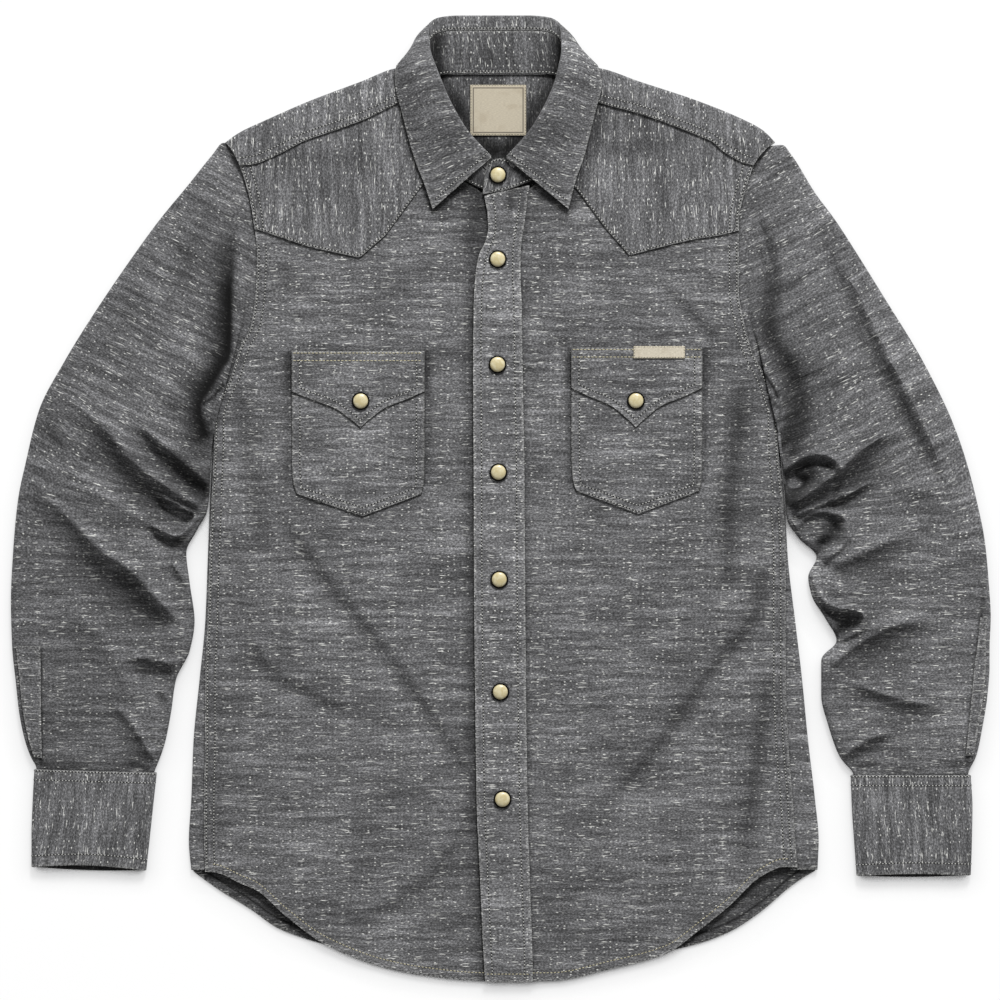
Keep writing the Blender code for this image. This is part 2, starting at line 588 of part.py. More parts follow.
def build_back():
    """The back: flat on the surface, turned up at the sides as far as the side seams."""
    turned = [("strip", 0), ("strip", 0.5)] + [("roll", angle) for angle in (0, 45, 90, 135)]
    across = [(-1, *key) for key in turned]
    across += [(0, "flat", share) for share in BACK_FLATS]
    across += [(1, *key) for key in reversed(turned)]
    body_rows, chest_rows = 15, 6
    along = [(share, 0) for share in steps(0, 1, body_rows)]
    along += [(1, share) for share in steps(0, 1, chest_rows)[1:]]

    def height(x, row):
        body, chest = row
        return mix(mix(back_hem(x), UNDERARM, body), back_yoke_seam(x) - SEAM, chest)

    def place(key, row):
        side, kind, value = key
        if side:
            y = height(268 if side > 0 else -264, row)
            (x, z), (inward_x, inward_z) = back_strip(side, y, kind, value)
            return (x, y, z), (inward_x, 0, inward_z)
        roll = 0.0 if row[1] else SIDE_ROLL
        y = height(mix(-262, 266, value), row)
        x = mix(side_right(y) + roll, side_left(y) - roll, value)
        return (x, height(x, row), 0), (0, 0, 1)

    def keep(column, row):
        """The turned-up sides end at the underarm."""
        return row < body_rows or len(turned) <= column < len(turned) + len(BACK_FLATS) - 1

    shell("back", across, along, place, CLOTH, keep=keep)


def build_back_yoke():
    """The back yoke: under the neck on the surface, and folded over each shoulder."""
    flat_rows = [("flat", share) for share in (0, 0.35, 0.6, 0.8, 0.92, 1)]
    roll_rows = [("roll", angle) for angle in (-45, 0, 45, 90)]
    top_rows = [("rise", 0.5), ("rise", 1.0), ("lap", 0.0)]
    columns = [row.x for row in SHOULDERS]
    first, last = columns[0], columns[-1]

    def place(x, row):
        kind, value = row
        share = (x - first) / (last - first)
        centre = ridge(x) - SHOULDER_ROLL
        inward = (0, 0, 1)
        z = 0.0
        if kind == "flat":
            y = mix(back_yoke_seam(x), centre, value)
        elif kind == "roll":
            angle = math.radians(value)
            y = centre + SHOULDER_ROLL * math.cos(angle)
            z = SHOULDER_ROLL * (1 + math.sin(angle))
            inward = (0, -math.cos(angle), -math.sin(angle))
        else:
            level = shoulder_seam(x) + LAP + LAP_EASE
            y = mix(centre, level, value) if kind == "rise" else shoulder_seam(x)
            z = mix(2 * SHOULDER_ROLL, YOKE_TOP, value) if kind == "rise" else YOKE_TOP
            inward = (0, 0, -1)
        x = mix(side_right(y), side_left(y), share) if y < SIDES[-1].y else x
        return (x, y, z), inward

    def keep(column, row):
        """Between the shoulders only the part on the surface is there."""
        between = WING_RIGHT <= columns[column] < WING_LEFT
        return row < len(flat_rows) - 1 or not between

    shell("back_yoke", columns, flat_rows + roll_rows + top_rows, place, CLOTH, keep=keep)


def build_front_right():
    """The right front, from its side seam to its edge under the placket."""
    top = outline(RIGHT_TOP)
    start, end = RIGHT_TOP[0].x, RIGHT_TOP[-1].x

    def place(nominal, share):
        x = nominal
        for _ in range(3):
            y = mix(front_hem(x), top(nominal), share)
            x = mix(seam_right(y), UNDERLAP, (nominal - start) / (end - start))
        return (x, y, front_height(x, y)), (0, 0, 1)

    shell("front_right", [row.x for row in RIGHT_TOP], steps(0, 1, 34), place, CLOTH)


def build_front_left():
    """The left front, from the placket's edge to its side seam, over the right front."""
    top = outline(LEFT_TOP + UNDER_PLACKET)
    start, end = LEFT_TOP[-1].x, LEFT_TOP[0].x
    beside = [("placket", index) for index in range(4)]
    panel = [("panel", row.x) for row in reversed(LEFT_TOP)]

    def column(key, y):
        kind, value = key
        right, left = placket_right(y), placket_left(y)
        if kind == "placket":
            return (right + 1.5, (right + left) / 2, left + 1, left + 1 + PLACKET_EASE / 2)[value]
        return mix(left + 1 + PLACKET_EASE + 4, seam_left(y), (value - start) / (end - start))

    def place(key, share):
        nominal = column(key, 266) if key[0] == "placket" else key[1]
        x = nominal
        for _ in range(3):
            y = mix(front_hem(x), top(nominal), share)
            x = column(key, y)
        return (x, y, overlap_height(x, y)), (0, 0, 1)

    shell("front_left", beside + panel, steps(0, 1, 34), place, CLOTH)


def build_front_yoke(side, tops, seam_points, seam_x):
    """A pointed front yoke, sewn on its front."""
    top, seam = outline(tops), outline(seam_points)
    columns = sorted((row.x for row in tops if abs(row.x - COLLAR_MIDDLE) > YOKE_INNER),
                     key=lambda x: abs(x - COLLAR_MIDDLE))
    inner, outer = columns[0], columns[-1]

    def place(nominal, share):
        x = nominal
        for _ in range(3):
            y = mix(seam(x), top(nominal), share)
            x = mix(seam_x(y), inner, (nominal - outer) / (inner - outer))
        return (x, y, front_height(x, y) + LAYER), (0, 0, 1)

    between = [(a + b) / 2 for a, b in zip(columns, columns[1:]) if abs(b - a) > 20]
    shell(f"front_yoke_{side}", sorted(columns + between), steps(0, 1, 8), place, CLOTH)


def build_placket():
    """The placket, on the edge of the left front."""
    top = outline(PLACKET_TOP)

    def place(share, height):
        y = mix(-410, top(mix(-16, 24, share)), height)
        x = mix(placket_right(y), placket_left(y), share)
        y = mix(front_hem(x) - 0.8, top(x), height)
        return (x, y, front_height(x, y) + 2 * LAYER), (0, 0, 1)

    heights = steps(0, 0.86, 18) + steps(0.86, 1, 8)[1:]
    shell("placket", steps(0, 1, 3), heights, place, CLOTH)


def pocket_bottom(pocket, x):
    """Return the lower edge of a pocket at one place across it."""
    rows = (Point(pocket.right, pocket.corner), Point(*pocket.tip), Point(pocket.left, pocket.corner))
    return outline(rows)(x)


def flap_bottom(pocket, x):
    """Return the lower edge of a pocket's flap at one place across it."""
    tip_x, tip_y = pocket.flap_tip
    reach = pocket.left - tip_x if x > tip_x else tip_x - pocket.right
    return pocket.flap_corner - (pocket.flap_corner - tip_y) * flap_drop(abs(x - tip_x) / reach)


def build_pocket(pocket):
    """A chest pocket with the flap that lies over its mouth."""
    top = pocket.top - POCKET_TUCK

    def place_pocket(share, height):
        y = mix(pocket_bottom(pocket, mix(pocket.right, pocket.left, share)), top, height)
        inset = POCKET_TAPER * (1 - (y - pocket.corner) / (top - pocket.corner))
        x = mix(pocket.right + inset, pocket.left - inset * 0.4, share)
        return (x, y, front_height(x, y) + LAYER), (0, 0, 1)

    def place_flap(share, height):
        x = mix(pocket.right, pocket.left, share)
        y = mix(flap_bottom(pocket, x), pocket.top, height)
        return (x, y, front_height(x, y) + 2 * LAYER), (0, 0, 1)

    tip = (pocket.tip[0] - pocket.right) / (pocket.left - pocket.right)
    shares = steps(0, tip, 4) + steps(tip, 1, 4)[1:]
    shell(f"pocket_{pocket.side}", shares, steps(0, 1, 6), place_pocket, CLOTH)
    tip = (pocket.flap_tip[0] - pocket.right) / (pocket.left - pocket.right)
    spread = (0, 0.08, 0.18, 0.34, 0.55, 0.8, 1)
    shares = [tip * (1 - share) for share in reversed(spread)]
    shares += [tip + (1 - tip) * share for share in spread[1:]]
    shell(f"flap_{pocket.side}", shares, steps(0, 1, 3), place_flap, CLOTH)


class Tube:
    """A flattened tube of cloth, read from a table of rings."""

    def __init__(self, rings, wall, folds=()):
        self.wall = wall
        self.folds = folds
        numbered = list(enumerate(rings))

        def column(read, reader=smooth):
            return reader(numbered, lambda row: row[0], lambda row: read(row[1]))

        self.outer = column(lambda ring: ring.outer[0]), column(lambda ring: ring.outer[1])
        self.inner = column(lambda ring: ring.inner[0]), column(lambda ring: ring.inner[1])
        self.bow = column(lambda ring: ring.bow)
        self.base = column(lambda ring: ring.base, straight)
        self.rim = column(lambda ring: ring.rim, straight)
        self.loft = column(lambda ring: ring.loft, straight)
        self.lip = column(lambda ring: ring.lip, straight)

    def ends(self, ring):
        """Return the two folds of a section, seen from above."""
        return (Vector([read(ring) for read in self.outer]), Vector([read(ring) for read in self.inner]))

    def plan(self, ring, share):
        """Return the place on a section, seen from above, at a share of the way across it."""
        outer, inner = self.ends(ring)
        along = (inner - outer).normalized()
        arch = Vector((-along.y, along.x)) * self.bow(ring) * 4 * share * (1 - share)
        return outer.lerp(inner, share) + arch

    def roll_share(self, ring):
        """Return how much of a section's width one of its rounded folds takes."""
        outer, inner = self.ends(ring)
        return self.rim(ring) / 2 / (inner - outer).length

    def top(self, ring, share):
        """Return a point on the upper face of the tube."""
        x, y = self.plan(ring, share)
        fullness = 1 - abs(2 * share - 1) ** 3
        rim, loft = self.rim(ring), self.loft(ring)
        free = ease((loft - 2.6) / 4)
        beside = ease(min(share, 1 - share) / 0.07) * free
        height = rim + (loft - rim) * fullness + fold_height(self.folds, x, y) * beside
        height = max(height, 2 * self.wall + 0.6)
        return x, y + self.lip(ring) * math.sin(math.pi * share), self.base(ring) + height

    def place(self, key, ring):
        """Return a point on the outside of the tube and the direction to its inside."""
        kind, value = key
        roll, radius = self.roll_share(ring), self.rim(ring) / 2
        if kind == "under":
            x, y = self.plan(ring, mix(roll, 1 - roll, value))
            return (x, y, self.base(ring)), (0, 0, 1)
        if kind == "over":
            return self.top(ring, mix(1 - roll, roll, value)), (0, 0, -1)
        angle = math.radians(value)
        out = math.cos(angle)
        share = roll * (1 - out) if kind == "outer" else 1 - roll * (1 - out)
        outer, inner = self.ends(ring)
        along = (inner - outer).normalized() * (out if kind == "outer" else -out)
        x, y = self.plan(ring, share)
        return ((x, y, self.base(ring) + radius * (1 + math.sin(angle))),
                (along.x, along.y, -math.sin(angle)))


def loop_keys(under, over):
    """Return the stations round a tube, starting and ending at its outer fold."""
    keys = [("under", share) for share in steps(0, 1, under)]
    keys += [("inner", angle) for angle in (-45, 0, 45)]
    keys += [("over", share) for share in steps(0, 1, over)]
    keys += [("outer", angle) for angle in (45, 0, -45)]
    return keys + [("under", 0.0)]


def build_sleeve(side, rings, folds, slit):
    """A sleeve, and the placket strip at its outer edge."""
    tube = Tube(rings, SLEEVE_CLOTH, folds)
    last = len(rings) - 1
    stations = steps(0, 2, 3) + steps(2, last, last + 2)[1:]
    shell(f"sleeve_{side}", loop_keys(2, 13), stations, tube.place, SLEEVE_CLOTH, closed=True)
    edge = smooth(slit, lambda row: row.ring, lambda row: row.x)

    def place(share, ring):
        outer, inner = tube.ends(ring)
        line = (edge(ring) - outer.x) / (inner.x - outer.x)
        x, y, z = tube.top(ring, mix(tube.roll_share(ring) + 0.005, line, share))
        return (x, y, z + 2 * SEAM), (0, 0, 1)

    beside = [ring for ring in stations if slit[0].ring <= ring <= slit[-1].ring]
    shell(f"sleeve_placket_{side}", steps(0, 1, 3), beside, place, SLEEVE_CLOTH)


def build_cuff(side, rings):
    """A cuff: a flat ring of double cloth round the end of its sleeve."""
    tube = Tube(rings, PLIES)
    stations = steps(0, len(rings) - 1, 4)
    shell(f"cuff_{side}", loop_keys(2, 10), stations, tube.place, PLIES, closed=True)


class Collar:
    """The collar's sections, read from its table of stations from one front end to the other."""

    def __init__(self):
        half = len(COLLAR) - 1
        rows = [(-index, row, -1) for index, row in enumerate(COLLAR)]
        rows += [(index, row, 1) for index, row in enumerate(COLLAR) if index]
        rows.sort(key=lambda row: row[0])
        self.first, self.last = -half, half

        def point(field):
            return [smooth(rows, lambda row: row[0], lambda row, axis=axis:
                           getattr(row[1], field)[axis] * (row[2] if axis == 0 else 1))
                    for axis in range(3)]

        self.points = {field: point(field) for field in ("foot", "roll", "belly", "edge")}
        self.turn = smooth(rows, lambda row: row[0], lambda row: row[1].turn)

    def read(self, field, station):
        """Return one of the section's points."""
        return Vector([axis(station) for axis in self.points[field]])

    def fold(self, station):
        """Return the roll's centre, its two directions, and the angles where it starts and ends."""
        roll = self.read("roll", station)
        to_centre = (Vector((*NECK_CENTRE, 0)) - Vector((roll.x, roll.y, 0))).normalized()
        turn = math.radians(self.turn(station))
        up = Vector((0, 0, 1))
        stand_side = to_centre * math.cos(turn) + up * math.sin(turn)
        crest = up * math.cos(turn) - to_centre * math.sin(turn)
        centre = roll - crest * ROLL

        def bearing(point):
            offset = point - centre
            flat = Vector((offset.dot(stand_side), offset.dot(crest)))
            return math.atan2(flat.y, flat.x), math.acos(min(ROLL / flat.length, 1.0))

        foot_angle, foot_tangent = bearing(self.read("foot", station))
        belly_angle, belly_tangent = bearing(self.read("belly", station))
        start = foot_angle + foot_tangent
        end = belly_angle % (2 * math.pi) - belly_tangent
        return centre, stand_side, crest, start, end

    def arc(self, station, share):
        """Return a point on the roll."""
        centre, stand_side, crest, start, end = self.fold(station)
        angle = mix(start, end, share)
        return centre + (stand_side * math.cos(angle) + crest * math.sin(angle)) * ROLL

    def seam(self, station, gap=0.0):
        """Return a point on the seam between stand and leaf, moved down the stand by a gap."""
        top = self.arc(station, 0)
        down = (self.read("foot", station) - top).normalized()
        return top + down * (SEAM_DROP + gap)

    def leaf(self, station, key):
        """Return a point of the leaf's section: run from the seam, roll, then fall to its edge."""
        kind, value = key
        if kind == "run":
            return self.seam(station).lerp(self.arc(station, 0), value)
        if kind == "roll":
            return self.arc(station, value)
        start, belly, edge = self.arc(station, 1), self.read("belly", station), self.read("edge", station)
        return start.lerp(belly, value).lerp(belly.lerp(edge, value), value)

    def stand(self, station, share):
        """Return a point of the stand's section, from its foot up to the seam."""
        return self.read("foot", station).lerp(self.seam(station, LEAF_GAP), share)


def leaned(point):
    """Return a point of the collar, moved to the side by the way the collar lies."""
    return point + Vector((collar_lean(point.y), 0, 0))


def build_collar():
    """The leaf, then the stand with its two ends."""
    collar = Collar()

    def leaf_point(station, value):
        part = min(max(int(math.floor(value)), 0), 2)
        station = min(max(station, collar.first), collar.last)
        return leaned(collar.leaf(station, (("run", "roll", "fall")[part], value - part)))

    stations = steps(collar.first, collar.last, 2 * (collar.last - collar.first))
    keys = [0] + steps(1, 3, 8)
    shell("collar_leaf", stations, keys, one_sided(leaf_point, collar.first, collar.last),
          LEAF_PLIES)
    build_stand(collar)


def one_sided(surface, first, last):
    """Turn a function that gives points into one that gives each point and its inward side."""
    step = 2e-3

    def place(a, b):
        across = surface(min(a + step, last), b) - surface(max(a - step, first), b)
        along = surface(a, b + step) - surface(a, b - step)
        return surface(a, b), along.cross(across).normalized()

    return place


def build_stand(collar):
    """The stand: a band round the neck whose left end laps over the right one."""
    def tab_row(tab):
        return [Vector(point) + Vector((COLLAR_MIDDLE, 0, 0)) for point in (tab.foot, tab.head)]

    rows = [tab_row(tab) for tab in reversed(UNDER_TAB)]
    for station in steps(collar.first, collar.last - 1, 2 * (collar.last - collar.first) - 2):
        rows.append([leaned(collar.stand(station, share)) for share in (0, 1)])
    rows += [tab_row(tab) for tab in OVER_TAB]
    numbered = list(enumerate(rows))

    def column(end, axis):
        return smooth(numbered, lambda row: row[0], lambda row: row[1][end][axis])

    reads = [[column(end, axis) for axis in range(3)] for end in (0, 1)]

    def point(station, share):
        foot, head = (Vector([read(station) for read in reads[end]]) for end in (0, 1))
        return foot.lerp(head, share)

    last = len(rows) - 1
    shell("collar_stand", steps(0, last, last), steps(0, 1, 3), one_sided(point, 0, last), PLIES)


def build_label(name, corners, height, finish):
    """A flat label between two opposite corners."""
    low, high = corners

    def place(x, y):
        return (x, y, height(x, y)), (0, 0, 1)

    shell(name, steps(low.x, high.x, 3), steps(low.y, high.y, 2), place, LABEL_CLOTH, finish)


def build_snap(name, spot, base):
    """A snap: a rimmed socket ring with a domed cap, turned about its own axis."""
    profile = ((0, 0), (SNAP_RADIUS * 0.94, 0), (SNAP_RADIUS, 0.6), (SNAP_RADIUS * 0.94, 1.1),
               (SNAP_RADIUS * 0.72, 2.3), (SNAP_RADIUS * 0.38, 3.0), (0, 3.2))
    bm = bmesh.new()
    verts = [bm.verts.new(Vector((radius, 0, z)) * MM) for radius, z in profile]
    edges = [bm.edges.new(pair) for pair in zip(verts, verts[1:])]
    bmesh.ops.spin(bm, geom=verts + edges, axis=(0, 0, 1), cent=(0, 0, 0), steps=SNAP_SIDES,
                   angle=2 * math.pi, use_merge=True)
    bmesh.ops.remove_doubles(bm, verts=bm.verts[:], dist=0.01 * MM)
    bmesh.ops.translate(bm, verts=bm.verts[:], vec=Vector((spot.x, spot.y, base)) * MM)
    add_object(name, bm, material("bone_cap", CAP_COLOUR, 0.35))


def build_trim():
    """The labels and the snaps."""
    label = material("label", LABEL_COLOUR, 0.8)
    build_label("neck_label", NECK_LABEL, lambda x, y: LAYER, label)
    build_label("pocket_label", POCKET_LABEL, lambda x, y: front_height(x, y) + 3 * LAYER, label)
    for number, spot in enumerate(SNAPS, start=1):
        over_placket = front_height(spot.x, spot.y) + 3 * LAYER
        over_tab = OVER_TAB[1].head[2] + PLIES + SEAM
        build_snap(f"snap_{number}", spot, over_tab if number == 1 else over_placket)
    for side, spot in FLAP_SNAPS.items():
        build_snap(f"flap_snap_{side}", spot, front_height(spot.x, spot.y) + 3 * LAYER)


def main():
    for item in list(bpy.data.objects):
        bpy.data.objects.remove(item)
    build_back()
    build_back_yoke()
    build_front_right()
    build_front_left()
    build_front_yoke("right", RIGHT_TOP, RIGHT_YOKE_SEAM, seam_right)
    build_front_yoke("left", LEFT_TOP, LEFT_YOKE_SEAM, seam_left)
    build_placket()
    for pocket in POCKETS:
        build_pocket(pocket)
    build_sleeve("right", RIGHT_SLEEVE, RIGHT_SLEEVE_FOLDS, RIGHT_SLIT)
    build_sleeve("left", LEFT_SLEEVE, LEFT_SLEEVE_FOLDS, LEFT_SLIT)
    build_cuff("right", RIGHT_CUFF)
    build_cuff("left", LEFT_CUFF)
    build_collar()
    build_trim()


main()
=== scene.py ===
"""Visual model of a western snap shirt that lies flat on its back.

Tables and sizes are in millimetres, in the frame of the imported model: +X is the wearer's left, +Y
runs to the collar and +Z leaves the surface that the shirt lies on. Each sewn piece is a sheet of
cloth of its own, made from a grid of stations and given its second face, and it stands for the
solid of the same name.
"""

from __future__ import annotations

import logging
import math
from dataclasses import dataclass, field
from enum import Enum
from typing import Callable, Iterable, NamedTuple, Sequence

import bmesh
import bpy
import numpy as np
from mathutils import Matrix, Vector

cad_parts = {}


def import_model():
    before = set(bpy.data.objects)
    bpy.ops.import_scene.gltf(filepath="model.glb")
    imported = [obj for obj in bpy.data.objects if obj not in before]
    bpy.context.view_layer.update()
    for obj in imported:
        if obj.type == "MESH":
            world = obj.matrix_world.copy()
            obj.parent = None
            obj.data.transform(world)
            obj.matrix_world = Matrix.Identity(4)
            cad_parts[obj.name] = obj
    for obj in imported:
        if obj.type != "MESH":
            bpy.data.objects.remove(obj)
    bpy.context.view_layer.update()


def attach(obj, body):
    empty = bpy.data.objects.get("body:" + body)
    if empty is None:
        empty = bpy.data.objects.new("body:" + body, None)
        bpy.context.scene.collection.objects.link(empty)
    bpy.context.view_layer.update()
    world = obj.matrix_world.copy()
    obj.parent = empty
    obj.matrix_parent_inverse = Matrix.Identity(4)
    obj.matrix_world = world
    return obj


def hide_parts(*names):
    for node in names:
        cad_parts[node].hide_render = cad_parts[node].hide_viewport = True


log = logging.getLogger("western_shirt")

Array = np.ndarray
Number = Array | float
Reader = Callable[[Array], Array]
Pair = tuple[float, float]
Triple = tuple[float, float, float]
MM = 0.001

# Sizes that the solids and the sheets share
CLOTH = 1.2
SLEEVE_CLOTH = 1.0
PLIES = 1.6
LEAF_PLIES = 1.4
SEAM = 0.3
LAYER = CLOTH + SEAM
LAP = 8.0
LAP_EASE = 3.0
FRONT_LIFT = 4.4
SIDE_ROLL = 2.05
SIDE_LAP = 6.0
SIDE_EASE = 14.0
UNDERARM = 56.0
SHOULDER_ROLL = 3.2
YOKE_TOP = FRONT_LIFT + 2 * LAYER + CLOTH
SWELL = 0.8
HEM_SETTLE = 2.2
PLACKET_EASE = 8.0
UNDERLAP = 14.0
YOKE_INNER = 46.0
COLLAR_MIDDLE = -3.0
NECK_CENTRE = (0.0, 330.0)
ROLL = 2.0
SEAM_DROP = 10.5
LEAF_GAP = 0.6
ARMHOLE_ROWS = (1.8, 8.0)
UNDER_LIFT = 0.2


class BodyRow(NamedTuple):
    """Outline of the body at one height, and the front edge of the side seams."""

    y: float
    right: float
    left: float
    right_seam: float
    left_seam: float


class Point(NamedTuple):
    """A place on an outline: how far it reaches along Y at one place across the shirt."""

    x: float
    y: float


class Shoulder(NamedTuple):
    """One column of the back yoke: the fold over the shoulder and the seam on the front."""

    x: float
    ridge: float
    seam: float


class Edge(NamedTuple):
    """The two long edges of the placket at one height."""

    y: float
    right: float
    left: float


class Ring(NamedTuple):
    """One section of a flattened tube, from its outer fold to its inner fold."""

    outer: Pair
    inner: Pair
    bow: float
    base: float
    rim: float
    loft: float
    lip: float = 0.0


class Slit(NamedTuple):
    """Where a sleeve placket's edge lies across the sleeve at one place along its rings."""

    ring: float
    x: float


class Station(NamedTuple):
    """One section through half of the collar: foot, fold, fullness and edge of the leaf."""

    foot: Triple
    roll: Triple
    belly: Triple
    edge: Triple
    turn: float


class Tab(NamedTuple):
    """One section through an end of the stand, past the leaf: its foot and its upper edge."""

    foot: Triple
    head: Triple


class Side(Enum):
    """The wearer's two sides, with the sign of X on each."""

    RIGHT = -1
    LEFT = 1

    @property
    def word(self) -> str:
        """The side's name as it stands in the names of pieces."""
        return self.name.lower()


class Rim(Enum):
    """The four edges of a sheet's grid."""

    BOTTOM = "bottom"
    TOP = "top"
    START = "start"
    END = "end"


class Grain(Enum):
    """Which way the slubs of the cloth run: over a sheet's grid, or as seen from above."""

    ACROSS = "across"
    ALONG = "along"
    LEVEL = "level"
    UPRIGHT = "upright"


def table(kind: Callable, *rows: Sequence) -> tuple:
    """Return rows of numbers as records of one kind."""
    return tuple(kind(*row) for row in rows)


SIDES = table(BodyRow,
    (-315, -264, 268, -252, 251), (-290, -266, 269, -253, 249), (-256, -264, 266, -253, 247),
    (-205, -262, 260, -252, 243), (-154, -257, 255, -252, 241), (-103, -252, 249, -250, 241),
    (-52, -250, 243, -248.5, 241), (-1, -248, 240, -246.5, 238.5), (42, -246, 236, -244.5, 234.5),
    (71, -244, 234, -244, 234), (88, -238, 230, -238, 230), (105, -230, 223, -230, 223),
    (127, -223, 212, -223, 212), (148, -213, 206, -213, 206), (178, -209, 201, -209, 201),
    (207, -208, 201, -208, 201), (237, -211, 201, -211, 201), (263, -216, 207, -216, 207),
    (284, -223, 214, -223, 214), (297, -230, 224, -230, 224), (303, -235, 232, -235, 232),
)
FRONT_HEM = table(Point,
    (-264, -315), (-252, -316), (-242, -317), (-222, -326), (-208, -332), (-183, -354),
    (-150, -378), (-99, -398), (-61, -405), (-16, -409), (41, -409), (92, -399), (139, -386),
    (167, -366), (194, -344), (220, -320), (240, -312), (268, -314),
)
BACK_HEM = table(Point,
    (-265, -314), (-257, -320), (-240, -332), (-214, -348), (-189, -365), (-138, -382),
    (-87, -397), (15, -405), (66, -400), (117, -389), (168, -377), (194, -367), (219, -351),
    (245, -329), (258, -320), (269, -314),
)
BACK_YOKE_SEAM = table(Point, (-235, 222), (-3, 198), (235, 222))
BACK_FLATS = (0, 0.03, 0.07, 0.12, 0.18, 0.25, 0.37, 0.5, 0.63, 0.75, 0.82, 0.88, 0.93, 0.97, 1)
RIGHT_TOP = table(Point,
    (-228, 293), (-219, 294.5), (-204, 298), (-172, 311), (-140, 323), (-112, 334), (-88, 345),
    (-70.5, 353), (-66.5, 313), (-60, 301), (-54.3, 289), (-45, 279), (-36.8, 271), (-25, 264.5),
    (-16, 258), (2, 256), (UNDERLAP, 256),
)
LEFT_TOP = table(Point,
    (224, 293), (215.5, 294.5), (202, 299), (168, 316), (137, 327), (109, 336), (85, 343),
    (65.5, 353), (61.5, 313), (55, 301), (49.3, 289), (40, 279.5),
)
UNDER_PLACKET = table(Point, (32, 270.5), (24, 264), (-14, 255))
RIGHT_YOKE_SEAM = table(Point,
    (-208, 229), (-193, 224), (-163, 214), (-121, 205), (-99, 224), (-68, 266), (-49, 286),
)
LEFT_YOKE_SEAM = table(Point,
    (201, 228), (185, 224), (160, 220), (139, 215), (108, 207), (88, 230), (65, 261), (44, 286),
)
WING_RIGHT, WING_LEFT = -69.0, 64.0
SHOULDERS = table(Shoulder,
    (-235, 303, 283), (-222, 312, 284), (-205, 320, 289), (-164, 338, 305), (-119, 355, 321),
    (-90, 366, 335), (WING_RIGHT, 368, 345), (-58, 366, 345), (-42, 364.2, 345), (-3, 364.2, 345),
    (37, 364.2, 345), (53, 366, 345), (WING_LEFT, 368, 345), (83, 366, 336), (116, 355, 327),
    (167, 338, 308), (208, 321, 290), (222, 313, 285), (232, 303, 283),
)
PLACKET = table(Edge,
    (-410.5, -14.4, 26.3), (-375, -16.4, 25.5), (-315, -19.0, 23.4), (-256, -21.6, 21.7),
    (-163, -22.9, 20.4), (-68, -23.8, 19.6), (20, -24.1, 19.1), (118, -24.6, 17.4),
    (169, -23.8, 16.6), (190, -22.5, 15.7), (207, -19.6, 15.7), (218, -14.4, 16.6),
    (229, -11.9, 18.3), (241, -12.3, 20.0), (257, -15.0, 21.7), (266, -16.1, 23.4),
)
PLACKET_TOP = table(Point, (-16, 257.2), (24, 266.5))
RIGHT_SLEEVE = table(Ring,
    ((-230, 303), (-236, 88), 30, 1.5, 2.6, 2.6), ((-237.3, 302.6), (-245, 80), 27, 1.5, 2.6, 2.6),
    ((-246.5, 292), (-248.5, 71), 29, 0, 5, 6.5), ((-268, 265), (-245.8, 60), 27, 0, 6.4, 9),
    ((-291, 237), (-246.2, 48), 25, 0, 7, 10), ((-339, 169), (-247.5, 22), 19, 0, 7, 11),
    ((-371, 118), (-248.4, 4), 14, 0, 7, 12), ((-393, 76), (-250.5, -10), 10, 0, 7, 13),
    ((-404, 33), (-260, -28), 6, 0, 7, 13.5), ((-411, -1), (-268, -46), 3, 0, 7, 13.5),
    ((-415, -43), (-265, -72), 0, 0, 7, 13), ((-417, -86), (-261, -103), 0, 0, 7, 12.5),
    ((-416, -124), (-265, -128), 0, 0, 7, 12), ((-413, -154), (-277, -154), 0, 0, 7, 11),
    ((-410, -181), (-281, -181), 0, 0, 7, 10.5), ((-405, -205), (-286, -206), 0, 0, 7, 10),
    ((-400, -219), (-291, -221), 0, 0.2, 5.6, 8.5),
    ((-395.4, -228), (-295, -231), 0, 1.9, 3.1, 4.5),
    ((-394.5, -238), (-297, -240), 0, 1.9, 3.1, 4.5),
)
LEFT_SLEEVE = table(Ring,
    ((222, 299), (230, 88), -34, 1.5, 2.6, 2.6), ((237.5, 301), (241, 80), -33, 1.5, 2.6, 2.6),
    ((246.5, 291.5), (239, 70), -30, 0, 5, 6.5), ((266, 260), (235.7, 58), -28, 0, 6.4, 9),
    ((283, 237), (236.3, 46), -26, 0, 7, 10), ((326, 169), (238.5, 22), -20, 0, 7, 11),
    ((357, 118), (240.1, 4), -14, 0, 7, 12), ((382, 67), (241.8, -16), -8, 0, 7, 13),
    ((394, 33), (252, -33), -5, 0, 7, 13.5), ((403, -1), (267, -49), -3, 0, 7, 13.5),
    ((410, -36), (260, -66), 0, 0, 7, 13), ((413, -67), (263, -82), 0, 0, 7, 13),
    ((415, -100), (275, -102), 0, 0, 7, 12.5), ((414, -125), (284, -120), 0, 0, 7, 12),
    ((414, -142), (271, -137), 0, 0, 7, 11.5), ((412, -168), (271, -166), 0, 0, 7, 11),
    ((408, -193), (277, -192), 0, 0, 7, 10.5), ((403, -217), (287, -219), 0, 0.2, 5.6, 8.5),
    ((396, -232.5), (298, -232.5), 0, 1.9, 3.1, 4.5), ((395, -242), (300, -242), 0, 1.9, 3.1, 4.5),
)
RIGHT_CUFF = table(Ring,
    ((-397, -229), (-293, -232), 0, 0, 7, 8.4), ((-398.5, -256), (-296, -259), 0, 0, 7, 8.4),
    ((-399.5, -285), (-299, -287), 0, 0, 7, 8.4),
    ((-399.5, -312), (-302, -315), -1.5, 0, 7, 8.4, 4.5),
)
LEFT_CUFF = table(Ring,
    ((398, -234), (296, -234), 0, 0, 7, 8.4), ((399.5, -262), (297, -262), 0, 0, 7, 8.4),
    ((399, -291), (299, -291), 0, 0, 7, 8.4), ((398, -319), (301, -319.5), 1.5, 0, 7, 8.4, 3),
)
